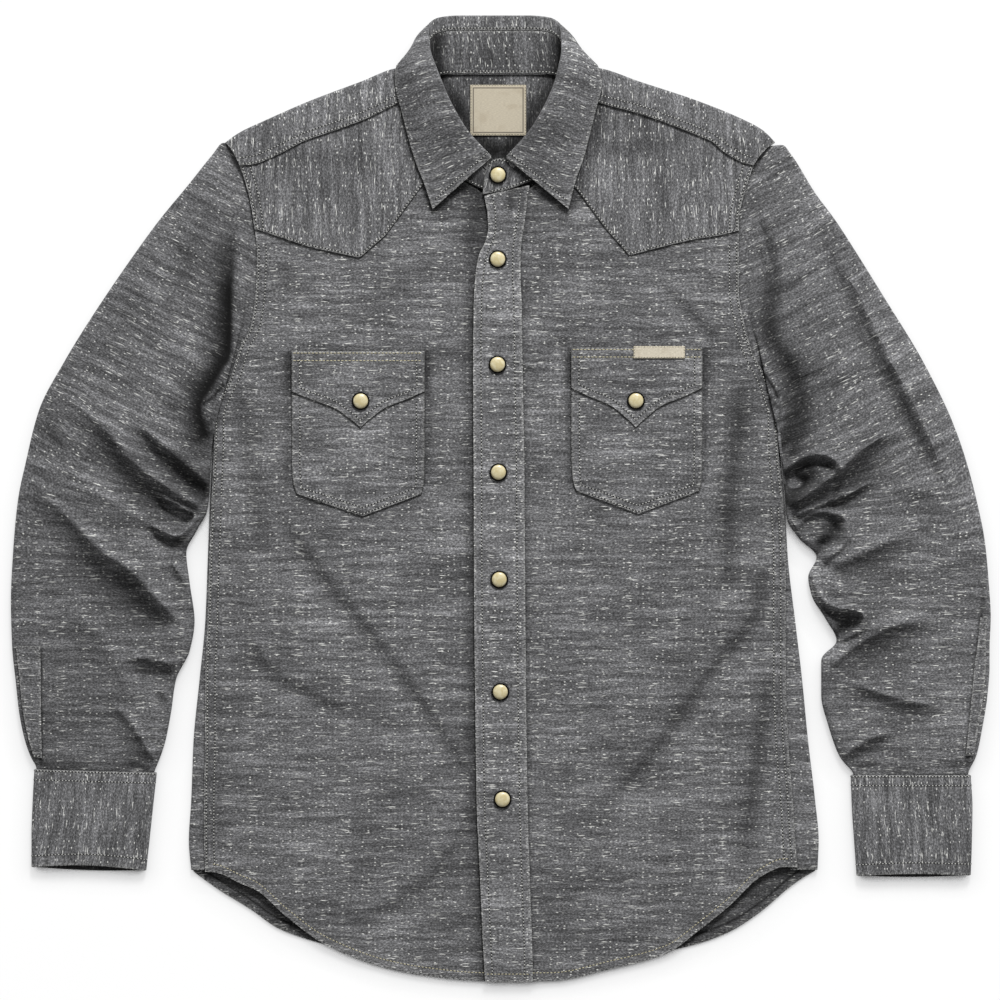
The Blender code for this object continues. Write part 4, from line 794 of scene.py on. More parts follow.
class Board:
    """The node tree of one material."""

    def __init__(self, name: str) -> None:
        """Make the material and find its shader."""
        self.material = bpy.data.materials.new(name)
        self.material.use_nodes = True
        self.tree = self.material.node_tree
        self.shader = self.tree.nodes["Principled BSDF"]

    def node(self, kind: str, settings: dict | None = None, inputs: dict | None = None,
             output: int | str = 0) -> Wire:
        """Add a node.

        Args:
            kind: the node's type.
            settings: its settings, which are set before its sockets.
            inputs: the value or wire of each socket, by name or number.
            output: the output that is wanted, by name or number.

        Returns:
            The wire of that output.
        """
        node = self.tree.nodes.new(kind)
        for key, value in (settings or {}).items():
            setattr(node, key, value)
        for key, value in (inputs or {}).items():
            self.feed(node.inputs[key], value)
        return Wire(self, node.outputs[output])

    def feed(self, socket: bpy.types.NodeSocket, value: Wire | float | tuple) -> None:
        """Link a wire to a socket, or set its value."""
        if isinstance(value, Wire):
            self.tree.links.new(value.socket, socket)
        elif isinstance(value, tuple) and len(value) == 3 and socket.type == "RGBA":
            socket.default_value = (*value, 1.0)
        else:
            socket.default_value = value

    def set(self, **values: Wire | float | tuple) -> None:
        """Set or link sockets of the shader, with underscores for spaces in their names."""
        for key, value in values.items():
            self.feed(self.shader.inputs[key.replace("_", " ")], value)

    def math(self, operation: str, *values: Wire | float) -> Wire:
        """Return the result of a Math node."""
        return self.node("ShaderNodeMath", {"operation": operation}, dict(enumerate(values)))

    def vector(self, operation: str, inputs: dict) -> Wire:
        """Return the result of a Vector Math node."""
        return self.node("ShaderNodeVectorMath", {"operation": operation}, inputs)

    def blend(self, factor: Wire | float, start: Wire | Triple, end: Wire | Triple,
              kind: str = "MIX") -> Wire:
        """Return a colour between two.

        Args:
            factor: share of the second colour.
            start: first colour.
            end: second colour.
            kind: way of mixing.

        Returns:
            The mixed colour.
        """
        return self.node("ShaderNodeMix", {"data_type": "RGBA", "blend_type": kind},
                         {0: factor, 6: start, 7: end}, 2)

    def tinted(self, colour: Wire | Triple, by: Wire) -> Wire:
        """Return a colour, made lighter or darker by a factor."""
        return self.vector("SCALE", {0: colour, 3: by})

    def scaled(self, vector: Wire, by: Triple, offset: Triple = (0.0, 0.0, 0.0)) -> Wire:
        """Return a vector, scaled and moved on each axis."""
        return self.vector("MULTIPLY_ADD", {0: vector, 1: by, 2: offset})

    def upright(self, y: Wire | float, z: float = 0.0) -> Wire:
        """Return a vector that has no X."""
        return self.node("ShaderNodeCombineXYZ", {}, {"X": 0.0, "Y": y, "Z": z})

    def noise(self, vector: Wire, detail: float = 2.0) -> Wire:
        """Return a noise of unit scale over a vector."""
        return self.node("ShaderNodeTexNoise", {"noise_dimensions": "2D"},
                         {"Vector": vector, "Scale": 1.0, "Detail": detail})

    def mottle(self, scale: float, detail: float, distortion: float = 0.0) -> Wire:
        """Return a noise through the piece's own space, with its scale in a metre."""
        place = self.node("ShaderNodeTexCoord", output="Object")
        return self.node("ShaderNodeTexNoise", {}, {
            "Vector": place, "Scale": scale, "Detail": detail, "Distortion": distortion})

    def dots(self, vector: Wire) -> tuple[Wire, Wire]:
        """Return the distance to the nearest of scattered points, and that point's chance."""
        near = self.node("ShaderNodeTexVoronoi", {"voronoi_dimensions": "2D"},
                         {"Vector": vector, "Scale": 1.0}, "Distance")
        return near, self.node("ShaderNodeSeparateColor", {}, {0: near.beside("Color")})

    def bump(self, height: Wire, distance: float, strength: float) -> None:
        """Give the shader a bump of a height field."""
        self.set(Normal=self.node("ShaderNodeBump", {}, {
            "Height": height, "Distance": distance, "Strength": strength}))

    def grain(self) -> Wire:
        """Return the cloth's own coordinates, in millimetres."""
        place = self.node("ShaderNodeUVMap", {"uv_map": "grain"})
        return self.scaled(place, (1 / MM, 1 / MM, 0.0))

    def part(self, vector: Wire, axis: str) -> Wire:
        """Return one component of a vector."""
        return self.node("ShaderNodeSeparateXYZ", {}, {0: vector}, axis)

    def attribute(self, name: str) -> Wire:
        """Return a number that is kept on the piece's points."""
        return self.node("ShaderNodeAttribute", {"attribute_name": name}, output="Fac")

    def threads(self, vector: Wire, axis: str, pitch: float) -> Wire:
        """Return waves along one axis of a vector, as yarns that lie side by side."""
        return (self.part(vector, axis) * (math.tau / pitch)).sine()


@dataclass(frozen=True)
class Chambray:
    """Slubby grey chambray. U runs along the slubbed weft and V along the warp."""

    name: str = "chambray"
    ground: Triple = (0.139, 0.139, 0.143)
    slub: Triple = (0.92, 0.92, 0.88)
    roughness: float = 0.92
    pitch: float = 0.62
    reach: float = 0.022

    def crevice(self, board: Board) -> Wire:
        """Return painted shade: occlusion that darkens the colour in folds and beside seams."""
        near = board.node("ShaderNodeAmbientOcclusion", {"samples": 6}, {"Distance": self.reach},
                          "AO")
        return board.blend(near, (0.12, 0.12, 0.12), (1.0, 1.0, 1.0))

    def streak(self, board: Board, mm: Wire, size: Pair, start: float) -> Wire:
        """Return a noise about 0 that is drawn out along the weft.

        Args:
            board: the material's tree.
            mm: place in the weave.
            size: the streaks' length and width.
            start: place in the noise, which keeps the streaks of two sizes apart.

        Returns:
            The noise.
        """
        place = board.scaled(mm, (1 / size[0], 1 / size[1], 0), (start, start * 1.7, 0))
        return board.noise(place, 1.0) - 0.5

    def nubs(self, board: Board, mm: Wire, size: Pair, radius: float, share: float) -> Wire:
        """Return scattered flecks of thick yarn.

        Args:
            board: the material's tree.
            mm: place in the weave.
            size: length and width of the cells, which hold a fleck each.
            radius: reach of a fleck, as a share of its cell.
            share: share of the cells whose flecks show.

        Returns:
            0 beside the flecks, and 1 on them.
        """
        near, chance = board.dots(board.scaled(mm, (1 / size[0], 1 / size[1], 0)))
        bold = chance.between(1 - share, 1.0 - share * 0.25)
        return (1 - near.between(radius * 0.35, radius)) * bold

    def build(self) -> bpy.types.Material:
        """Return the material."""
        board = Board(self.name)
        flat = board.grain()
        drift = board.noise(board.scaled(flat, (1 / 24, 1 / 24, 0)), 0.0) - 0.5
        mm = board.vector("ADD", {0: flat, 1: board.upright(drift * 3.0)})
        thin = self.streak(board, mm, (6.0, 0.8), 3.1)
        middle = self.streak(board, mm, (17.0, 1.7), 17.3)
        broad = self.streak(board, mm, (62.0, 4.4), 29.9)
        cloud = self.streak(board, flat, (60.0, 36.0), 41.7)
        fine = board.noise(board.scaled(flat, (1 / 1.9, 1 / 1.15, 0), (1.7, 5.3, 0)), 1.0) - 0.5
        hatch = ((board.part(flat, "X") - board.part(flat, "Y")) * (math.tau / 2.0)).sine()
        fleck = self.nubs(board, mm, (5.6, 3.0), 0.20, 0.36)
        dash = self.nubs(board, mm, (20.0, 2.6), 0.20, 0.42)
        slub = self.nubs(board, mm, (38.0, 3.4), 0.15, 0.32)
        swing = thin * 1.0 + middle * 1.0 + broad * 1.5 + cloud * 0.8 + fine * 2.5 + hatch * 0.08
        tone = board.tinted(self.ground, board.math("POWER", math.e, swing))
        broken = (thin + 0.5).between(0.32, 0.60)
        tone = board.blend(board.math("MAXIMUM", dash, slub) * broken * 0.86, tone, self.slub)
        tone = board.blend(fleck * 0.85, tone, self.slub)
        worn = board.attribute("worn") * (fine + 0.5).between(0.3, 0.7)
        tone = board.blend(worn * 0.25, tone, self.slub)
        warp = board.threads(flat, "X", self.pitch)
        weft = board.threads(flat, "Y", self.pitch)
        height = thin * 0.5 + fine * 0.8 + fleck * 0.5 + dash * 0.4 + warp * weft * 0.16
        board.bump(height, 0.00030, 0.8)
        # Painted shade: crevice occlusion and the dim attribute, which carries each sheet's painted
        # shadows, darken the base colour.
        tone = board.blend(1.0, tone, self.crevice(board), "MULTIPLY")
        tone = board.tinted(tone, 1 - board.attribute("dim"))
        board.set(Base_Color=tone, Roughness=self.roughness, Sheen_Weight=0.10,
                  Sheen_Roughness=0.5, Specular_IOR_Level=0.2)
        return board.material


@dataclass(frozen=True)
class Thread:
    """Twisted cotton sewing thread."""

    name: str
    colour: Triple

    def build(self) -> bpy.types.Material:
        """Return the material."""
        board = Board(self.name)
        dim = tuple(value * 0.55 for value in self.colour)
        tone = board.blend(board.mottle(900.0, 1.0), dim, self.colour)
        board.set(Base_Color=tone, Roughness=0.8, Specular_IOR_Level=0.3)
        return board.material


@dataclass(frozen=True)
class WovenLabel:
    """Cream woven label, blank inside a plain border line."""

    name: str
    width: float
    height: float
    border: float
    colour: Triple = (0.60, 0.54, 0.42)
    line: Triple = (0.09, 0.075, 0.06)

    def build(self) -> bpy.types.Material:
        """Return the material."""
        board = Board(self.name)
        mm = board.grain()
        x = (board.part(mm, "X") - self.width / 2).magnitude() - (self.width / 2 - self.border)
        y = (board.part(mm, "Y") - self.height / 2).magnitude() - (self.height / 2 - self.border)
        away = board.math("MAXIMUM", x, y).magnitude()
        drawn = 1 - away.between(0.30, 0.60)
        fibre = board.noise(board.scaled(mm, (1 / 2.0, 1 / 0.4, 0)), 2.0)
        stain = board.noise(board.scaled(mm, (1 / 14, 1 / 11, 0), (4.0, 1.0, 0)), 2.0)
        tone = board.blend(fibre.between(0.3, 0.7) * 0.5, self.colour, (0.42, 0.365, 0.28))
        tone = board.blend(stain.between(0.5, 0.75) * 0.35, tone, (0.40, 0.33, 0.23))
        tone = board.blend(drawn * 0.85, tone, self.line)
        board.bump(fibre + board.threads(mm, "Y", 0.5) * 0.3, 0.0002, 0.5)
        board.set(Base_Color=tone, Roughness=0.75, Specular_IOR_Level=0.3)
        return board.material


@dataclass(frozen=True)
class BoneCap:
    """Bone-coloured moulded snap cap, faintly mottled."""

    name: str = "bone_cap"

    def build(self) -> bpy.types.Material:
        """Return the material."""
        board = Board(self.name)
        cloud = board.mottle(260.0, 3.0, 0.8)
        speck = board.mottle(1500.0, 2.0)
        tone = board.blend(cloud.between(0.35, 0.68), (0.62, 0.53, 0.29), (0.74, 0.67, 0.44))
        tone = board.blend(speck.between(0.60, 0.72) * 0.5, tone, (0.50, 0.40, 0.20))
        board.set(Base_Color=tone, Roughness=0.30 + speck * 0.12, Coat_Weight=0.3,
                  Coat_Roughness=0.15)
        return board.material


@dataclass(frozen=True)
class DarkRim:
    """Blackened metal of a snap's rim, worn brighter in patches."""

    name: str = "dark_rim"

    def build(self) -> bpy.types.Material:
        """Return the material."""
        board = Board(self.name)
        wear = board.mottle(700.0, 3.0).between(0.5, 0.7)
        tone = board.blend(wear, (0.003, 0.0025, 0.002), (0.012, 0.009, 0.006))
        board.set(Base_Color=tone, Roughness=0.7 + wear * 0.1, Specular_IOR_Level=0.06)
        return board.material


# Sheets of cloth

WORN_REACH = 3.0
RIM_ANGLE = 65.0
RIM_ROUND = 0.3
LEAST_AREA = 0.301
STITCHES_AT_ONCE = 40


def grid(columns: Sequence[tuple[Array, Array, Array]]) -> Array:
    """Return the points of a sheet from the X, Y and Z of its columns."""
    return np.stack([np.stack(column, axis=1) for column in columns], axis=1)


def lengths(points: Array, axis: int) -> Array:
    """Return the distance along one axis of a grid of points, from its start."""
    step = np.linalg.norm(np.diff(points, axis=axis), axis=2)
    start = np.zeros_like(np.take(step, [0], axis=axis))
    return np.concatenate((start, np.cumsum(step, axis=axis)), axis=axis)


@dataclass
class Cloth:
    """One sheet of cloth over a grid of stations, rows along it and columns across it.

    face holds the points of its first face, wall how far the second face lies from it, and turn
    is 1 or -1 for the side of the first face on which that is. keep says which cells there are,
    and closed joins the last column to the first, which makes a tube. relief is what the second
    face gains over the wall. shade is painted shade, 0 to 1, which the dim attribute carries into
    the cloth's colour, and inner the same for the second face alone. grain and shift place the
    sheet in the weave, or weave gives the place of each station.
    """

    name: str
    face: Array
    wall: float
    turn: int = 1
    grain: Grain = Grain.ACROSS
    keep: Array | None = None
    closed: bool = False
    relief: Number = 0.0
    shade: Number = 0.0
    inner: Number | None = None
    shift: Pair = (0.0, 0.0)
    weave: Array | None = None
    made: bpy.types.Object | None = field(default=None, init=False)

    def __post_init__(self) -> None:
        """Work out the second face and the distances over the sheet."""
        across, along = np.gradient(self.face, axis=1), np.gradient(self.face, axis=0)
        if self.closed:
            ends = (self.face[:, 1] - self.face[:, -2]) / 2
            across[:, 0] = across[:, -1] = ends
        normal = np.cross(across, along)
        size = np.linalg.norm(normal, axis=2, keepdims=True)
        self.normal = self.turn * normal / np.where(size == 0, 1.0, size)
        thick = (self.wall + self.relief) * np.ones(self.face.shape[:2])
        self.back = self.face + self.normal * thick[:, :, None]
        self.across = lengths(self.face, 1)
        self.along = lengths(self.face, 0)

    def rims(self) -> Array:
        """Return the distance of each station from the nearest edge of the sheet."""
        near = np.minimum(self.along, self.along[-1:] - self.along)
        if not self.closed:
            near = np.minimum(near, np.minimum(self.across, self.across[:, -1:] - self.across))
        return near

    def coordinates(self) -> Array:
        """Return the place of each station in the weave, in metres."""
        if self.weave is not None:
            return self.weave * MM
        if self.grain in (Grain.LEVEL, Grain.UPRIGHT):
            plan = self.face[:, :, :2] if self.grain is Grain.LEVEL else self.face[:, :, 1::-1]
            return (plan + np.array(self.shift)) * MM
        along = np.broadcast_to(self.along.mean(axis=1, keepdims=True), self.along.shape)
        middle = self.across - self.across.mean(axis=1, keepdims=True)
        pair = (middle, along) if self.grain is Grain.ACROSS else (self.along, middle)
        return (np.stack(pair, axis=2) + np.array(self.shift)) * MM

    def build(self, finish: bpy.types.Material) -> None:
        """Make the sheet's object, with its place in its mesh.

        Args:
            finish: the cloth's material.
        """
        rows, columns = self.face.shape[:2]
        bm = bmesh.new()
        bmesh.ops.create_grid(bm, x_segments=columns - 1, y_segments=rows - 1, size=0.5)
        station = bm.verts.layers.int.new("station")
        worn = bm.verts.layers.float.new("worn")
        # The dim attribute carries the sheet's painted shade into the chambray's colour.
        dim = bm.verts.layers.float.new("dim")
        grain = bm.loops.layers.uv.new("grain")
        wear = 1 - ease(self.rims().ravel() / WORN_REACH)
        shade = (self.shade * np.ones((rows, columns))).ravel()
        places = self.coordinates().reshape(-1, 2)
        for vert in bm.verts:
            column = round((vert.co.x + 0.5) * (columns - 1))
            row = round((vert.co.y + 0.5) * (rows - 1))
            vert[station] = row * columns + column
            vert[worn] = wear[vert[station]]
            vert[dim] = shade[vert[station]]
        for face in bm.faces:
            for loop in face.loops:
                loop[grain].uv = places[loop.vert[station]]
        self.cut_away(bm, station)
        self.move(bm.verts, station, self.face)
        if self.closed:
            bmesh.ops.remove_doubles(bm, verts=bm.verts[:], dist=0.01 * MM)
        made = bmesh.ops.extrude_face_region(bm, geom=bm.faces[:], use_keep_orig=True)["geom"]
        made = [item for item in made if isinstance(item, bmesh.types.BMVert)]
        self.move(made, station, self.back)
        if self.inner is not None:
            shade = (self.inner * np.ones((rows, columns))).ravel()
            for vert in made:
                vert[dim] = shade[vert[station]]
        bmesh.ops.recalc_face_normals(bm, faces=bm.faces[:])
        rim = [edge for edge in bm.edges if edge.calc_face_angle(0.0) > math.radians(RIM_ANGLE)]
        bmesh.ops.bevel(bm, geom=rim, offset=self.wall * RIM_ROUND * MM, offset_type="OFFSET",
                        segments=2, profile=0.5, affect="EDGES", material=-1, clamp_overlap=True)
        self.made = add_object(self.name, bm, [finish])

    def cut_away(self, bm: bmesh.types.BMesh, station: bmesh.types.BMLayerItem) -> None:
        """Delete the cells that the sheet doesn't have."""
        if self.keep is None:
            return
        columns = self.face.shape[1]
        gone = []
        for face in bm.faces:
            row, column = divmod(min(vert[station] for vert in face.verts), columns)
            if not self.keep[row, column]:
                gone.append(face)
        bmesh.ops.delete(bm, geom=gone, context="FACES")

    def move(self, verts: Iterable[bmesh.types.BMVert], station: bmesh.types.BMLayerItem,
             points: Array) -> None:
        """Put vertices on a grid of points."""
        flat = points.reshape(-1, 3) * MM
        for vert in verts:
            vert.co = flat[vert[station]]

    def cut(self) -> Triple:
        """Return the sheet's flat width, length and area, in metres."""
        width, length = self.across[:, -1].max() * MM, self.along[-1].max() * MM
        step_across = np.diff(self.face, axis=1)[:-1]
        step_along = np.diff(self.face, axis=0)[:, :-1]
        cells = np.linalg.norm(np.cross(step_across, step_along), axis=2)
        if self.keep is not None:
            cells = cells * self.keep
        return float(width), float(length), float(cells.sum()) * MM * MM

    def lay(self, finish: bpy.types.Material, node: str, held: str, *rests_on: str) -> None:
        """Make the sheet, attach it to the root, hide its solid and log its size.

        Args:
            finish: the cloth's material.
            node: the solid that the sheet stands for.
            held: not used.
            rests_on: not used.
        """
        self.build(finish)
        width, length, area = self.cut()
        area = min(max(area, LEAST_AREA * width * length), width * length)
        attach(self.made, "root")
        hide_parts(node)
        log.info("%s: %.0f x %.0f mm, %.4f m2", self.name, width / MM, length / MM, area)

    def line(self, rim: Rim, inset: float, start: float, end: float, points: Array) -> Array:
        """Return a line on a face of the sheet, at a distance from one of its edges.

        Args:
            rim: the edge that the line follows.
            inset: its distance from that edge, in millimetres.
            start: share of the edge where the line starts.
            end: share of the edge where it ends.
            points: the face's points.

        Returns:
            The line's points.
        """
        if rim in (Rim.START, Rim.END):
            points = points.transpose(1, 0, 2)
        if rim in (Rim.TOP, Rim.END):
            points = points[::-1]
        count = points.shape[1]
        low, high = round(start * (count - 1)), round(end * (count - 1))
        travelled = lengths(points, 0)
        line = []
        for column in range(low, high + 1):
            way = travelled[:, column]
            line.append([np.interp(inset, way, points[:, column, axis]) for axis in range(3)])
        return np.array(line)


def add_object(name: str, bm: bmesh.types.BMesh,
               finishes: Sequence[bpy.types.Material]) -> bpy.types.Object:
    """Make one named object from a bmesh, which holds metres.

    Args:
        name: the object's name.
        bm: the mesh, which is freed.
        finishes: its material slots.

    Returns:
        The object.
    """
    mesh = bpy.data.meshes.new(name)
    bm.to_mesh(mesh)
    bm.free()
    for finish in finishes:
        mesh.materials.append(finish)
    mesh.shade_smooth()
    mesh.set_sharp_from_angle(angle=math.radians(55))
    piece = bpy.data.objects.new(name, mesh)
    bpy.context.scene.collection.objects.link(piece)
    return piece


@dataclass
class Stitching:
    """Rows of stitches: pills of thread in the cloth, with discs of painted shade for needle holes.
    """

    name: str
    length: float = 1.65
    gap: float = 1.15
    radius: float = 0.46
    rows: list[Array] = field(default_factory=list)

    def follow(self, cloth: Cloth, rim: Rim, insets: Sequence[float], start: float, end: float,
               under: bool = False, lift: float = 0.0) -> None:
        """Add rows of stitches beside an edge of a sheet.

        Args:
            cloth: the sheet.
            rim: its edge.
            insets: how far each row lies from the edge.
            start: share of the edge where the rows start.
            end: share of the edge where they end.
            under: whether they lie on the sheet's first face and not on its second one.
            lift: how much higher than that face they lie.
        """
        for inset in insets:
            line = cloth.line(rim, inset, start, end, cloth.face if under else cloth.back)
            self.rows.append(line + np.array((0.0, 0.0, lift)))

    def build(self, finish: bpy.types.Material, hole: bpy.types.Material) -> None:
        """Make all the rows as one piece that rides on the shirt.

        Args:
            finish: the thread's material.
            hole: the material of the needle holes' painted shade.
        """
        whole, store = bmesh.new(), bpy.data.meshes.new("row")
        count = 0
        for row in self.rows:
            step = np.linalg.norm(np.diff(row, axis=0), axis=1)
            way = np.concatenate(([0.0], np.cumsum(step)))
            starts = np.arange(0.0, way[-1] - self.length - self.gap, self.length + self.gap)
            count += len(starts)
            for first in range(0, len(starts), STITCHES_AT_ONCE):
                part = bmesh.new()
                for start in starts[first:first + STITCHES_AT_ONCE]:
                    self.sew(part, lambda place: Vector(
                        [np.interp(place, way, row[:, axis]) for axis in range(3)]), float(start))
                part.to_mesh(store)
                part.free()
                whole.from_mesh(store)
        bpy.data.meshes.remove(store)
        piece = add_object(self.name, whole, [finish, hole])
        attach(piece, "root")
        log.info("%s: %d rows, %d stitches", self.name, len(self.rows), count)

    def sew(self, bm: bmesh.types.BMesh, point: Callable[[float], Vector], start: float) -> None:
        """Add one stitch, and the painted shade of its needle hole, to a mesh.

        Args:
            bm: the mesh.
            point: reader of the row's line by the distance along it.
            start: distance at which the stitch starts.
        """
        low, high = point(start), point(start + self.length)
        along = (high - low).normalized()
        if along.length < 0.5 or abs(along.z) > 0.95:
            return
        across = along.cross(Vector((0, 0, 1))).normalized()
        turned = Matrix((across, along, across.cross(along))).transposed().to_4x4()
        place = Matrix.Translation((low + high) / 2 * MM) @ turned
        size = Matrix.Diagonal((self.radius * MM, self.length / 2 * MM, self.radius * MM, 1))
        bmesh.ops.create_icosphere(bm, subdivisions=1, radius=1.0, matrix=place @ size)
        self.pierce(bm, point(start + self.length + self.gap / 2), turned)

    def pierce(self, bm: bmesh.types.BMesh, spot: Vector, turned: Matrix) -> None:
        """Add the painted shade of a needle hole beside a stitch: a dark disc just over the cloth.

        Args:
            bm: the mesh.
            spot: the place of the hole.
            turned: the directions across the row, along it and out of the cloth.
        """
        size = Matrix.Diagonal((self.radius * 1.45 * MM, self.gap * 0.75 * MM, MM, 1))
        lift = Matrix.Translation((spot + Vector((0, 0, 0.07))) * MM)
        made = bmesh.ops.create_circle(bm, cap_ends=True, segments=7, radius=1.0,
                                       matrix=lift @ turned @ size)
        for face in {face for vert in made["verts"] for face in vert.link_faces}:
            face.material_index = 1


# The shirt's pieces

class Wardrobe:
    """The finishes that the pieces share, and the rows of stitches on them."""

    def __init__(self) -> None:
        """Make the finishes."""
        # A shaded copy of the chambray: painted shade in a darker ground and a farther reach of
        # crevice occlusion, for the stand.
        inside = Chambray("chambray_inside", ground=(0.104, 0.104, 0.107), reach=0.045)
        self.cloth, self.shade = Chambray().build(), inside.build()
        self.thread = Thread("grey_thread", (0.72, 0.72, 0.68)).build()
        self.bright = Thread("ecru_thread", (0.74, 0.68, 0.46)).build()
        # Needle holes are dark discs of painted shade.
        self.hole = Thread("needle_hole", (0.035, 0.035, 0.037)).build()
        self.cap, self.rim = BoneCap().build(), DarkRim().build()
        self.seams = Stitching("seam_stitches")
        self.flaps = Stitching("pocket_stitches", length=2.9, gap=0.22, radius=0.42)
        self.hems = Stitching("hem_stitches", length=2.5, gap=0.55, radius=0.40)
        self.labels = Stitching("label_stitches", length=1.6, gap=0.8, radius=0.15)

    def sew(self) -> None:
        """Make the rows of stitches, once the sheets are there."""
        self.seams.build(self.thread, self.hole)
        for rows in (self.flaps, self.hems, self.labels):
            rows.build(self.bright, self.hole)


@dataclass
class Piece:
    """A piece of the shirt."""

    wardrobe: Wardrobe


@dataclass
class Back(Piece):
    """The back panel, flat on the surface and turned up at its sides."""

    step: float = 4.0
    hem: float = 7.0
    right_reach: float = -264.0
    left_reach: float = 268.0
    below: float = 1.0

    def strip(self, side: int, y: Array, kind: str, value: float) -> tuple[Array, float]:
        """Return a column on a side where the back is turned up.

        Args:
            side: sign of X on that side.
            y: Y over all rows.
            kind: strip or roll.
            value: share of the strip's width, or angle round the roll in degrees.

        Returns:
            The column's X and Z.
        """
        edge, seam = (read(y) for read in BACK_SIDES[side])
        centre = edge - side * SIDE_ROLL
        if kind == "strip":
            return mix(seam - side * SIDE_LAP, centre, value), 2 * SIDE_ROLL
        angle = math.radians(value)
        return centre + side * SIDE_ROLL * math.sin(angle), SIDE_ROLL * (1 + math.cos(angle))

    def build(self) -> None:
        """Make the panel and the stitches of its hem."""
        turned = [("strip", share) for share in (0, 0.25, 0.5, 0.75)]
        turned += [("roll", angle) for angle in range(0, 180, 18)]
        flats = fill(BACK_FLATS, self.step / 530)
        keys = [(-1, *key) for key in turned] + [(0, "flat", share) for share in flats]
        keys += [(1, *key) for key in reversed(turned)]
        body = np.concatenate((fill((0, 0.04), 0.003), fill((0.04, 1), 0.0125)[1:]))
        chest = fill((0, 1), 0.03)[1:]
        rows = np.concatenate((np.stack((body, 0 * body), 1), np.stack((1 + 0 * chest, chest), 1)))

        def height(x: Number) -> Array:
            """Return Y over all rows at one X."""
            level = mix(back_hem(x), UNDERARM, rows[:, 0])
            return mix(level, back_yoke_seam(x) - SEAM, rows[:, 1])

        columns = []
        for side, kind, value in keys:
            if side:
                y = height(self.left_reach if side > 0 else self.right_reach)
                x, z = self.strip(side, y, kind, value)
                columns.append((x, y, np.full_like(y, z)))
                continue
            roll = np.where(rows[:, 1] > 0, 0.0, SIDE_ROLL)
            y = height(mix(-262, 266, value))
            x = mix(side_right(y) + roll, side_left(y) - roll, value)
            y = height(x)
            lift = fold_height(BACK_FOLDS, x, y) * ease(value / 0.06) * ease((1 - value) / 0.06)
            columns.append((x, y, np.maximum(lift, 0)))
        face = grid(columns)
        keep = np.ones((len(rows) - 1, len(keys) - 1), bool)
        keep[len(body) - 1:, :len(turned)] = False
        keep[len(body) - 1:, len(keys) - 1 - len(turned):] = False
        rim = lengths(face, 0)
        hem = 0.5 * (1 - ease((rim - self.hem) / 1.6))
        # Painted shade on the inner face: a dark line along the turned-in hem's edge, and darker
        # corners at the hem's sides.
        flat = face[:, :, 2] < self.below
        turned_in = 0.86 * np.exp(-((rim - self.hem - 1.2) / 1.3) ** 2)
        corner = ease((abs(face[:, :, 0]) - 80) / 70) * ease((-250 - face[:, :, 1]) / 30)
        cloth = Cloth("back_panel", face, CLOTH - 0.1, 1, Grain.LEVEL, keep, relief=hem,
                      inner=1 - (1 - 0.5 * corner * flat) * (1 - turned_in * flat),
                      shift=(31.0, 700.0))
        cloth.lay(self.wardrobe.cloth, "back", "laid")
        self.wardrobe.seams.follow(cloth, Rim.BOTTOM, [self.hem - 1.0], 0.1, 0.9, True, UNDER_LIFT)


BACK_FOLDS = table(Fold,
    ((-150, 120), (-60, -40), 9, 0.9, 10, True), ((140, 100), (60, -90), 9, 0.9, -8, True),
    ((-30, -120), (40, -300), 10, 0.8, 12, True), ((-190, -150), (-120, -290), 8, 0.9, -8, True),
    ((190, -140), (130, -300), 8, 0.9, 8, True), ((10, 150), (-20, 10), 9, 0.7, 5, True),
)


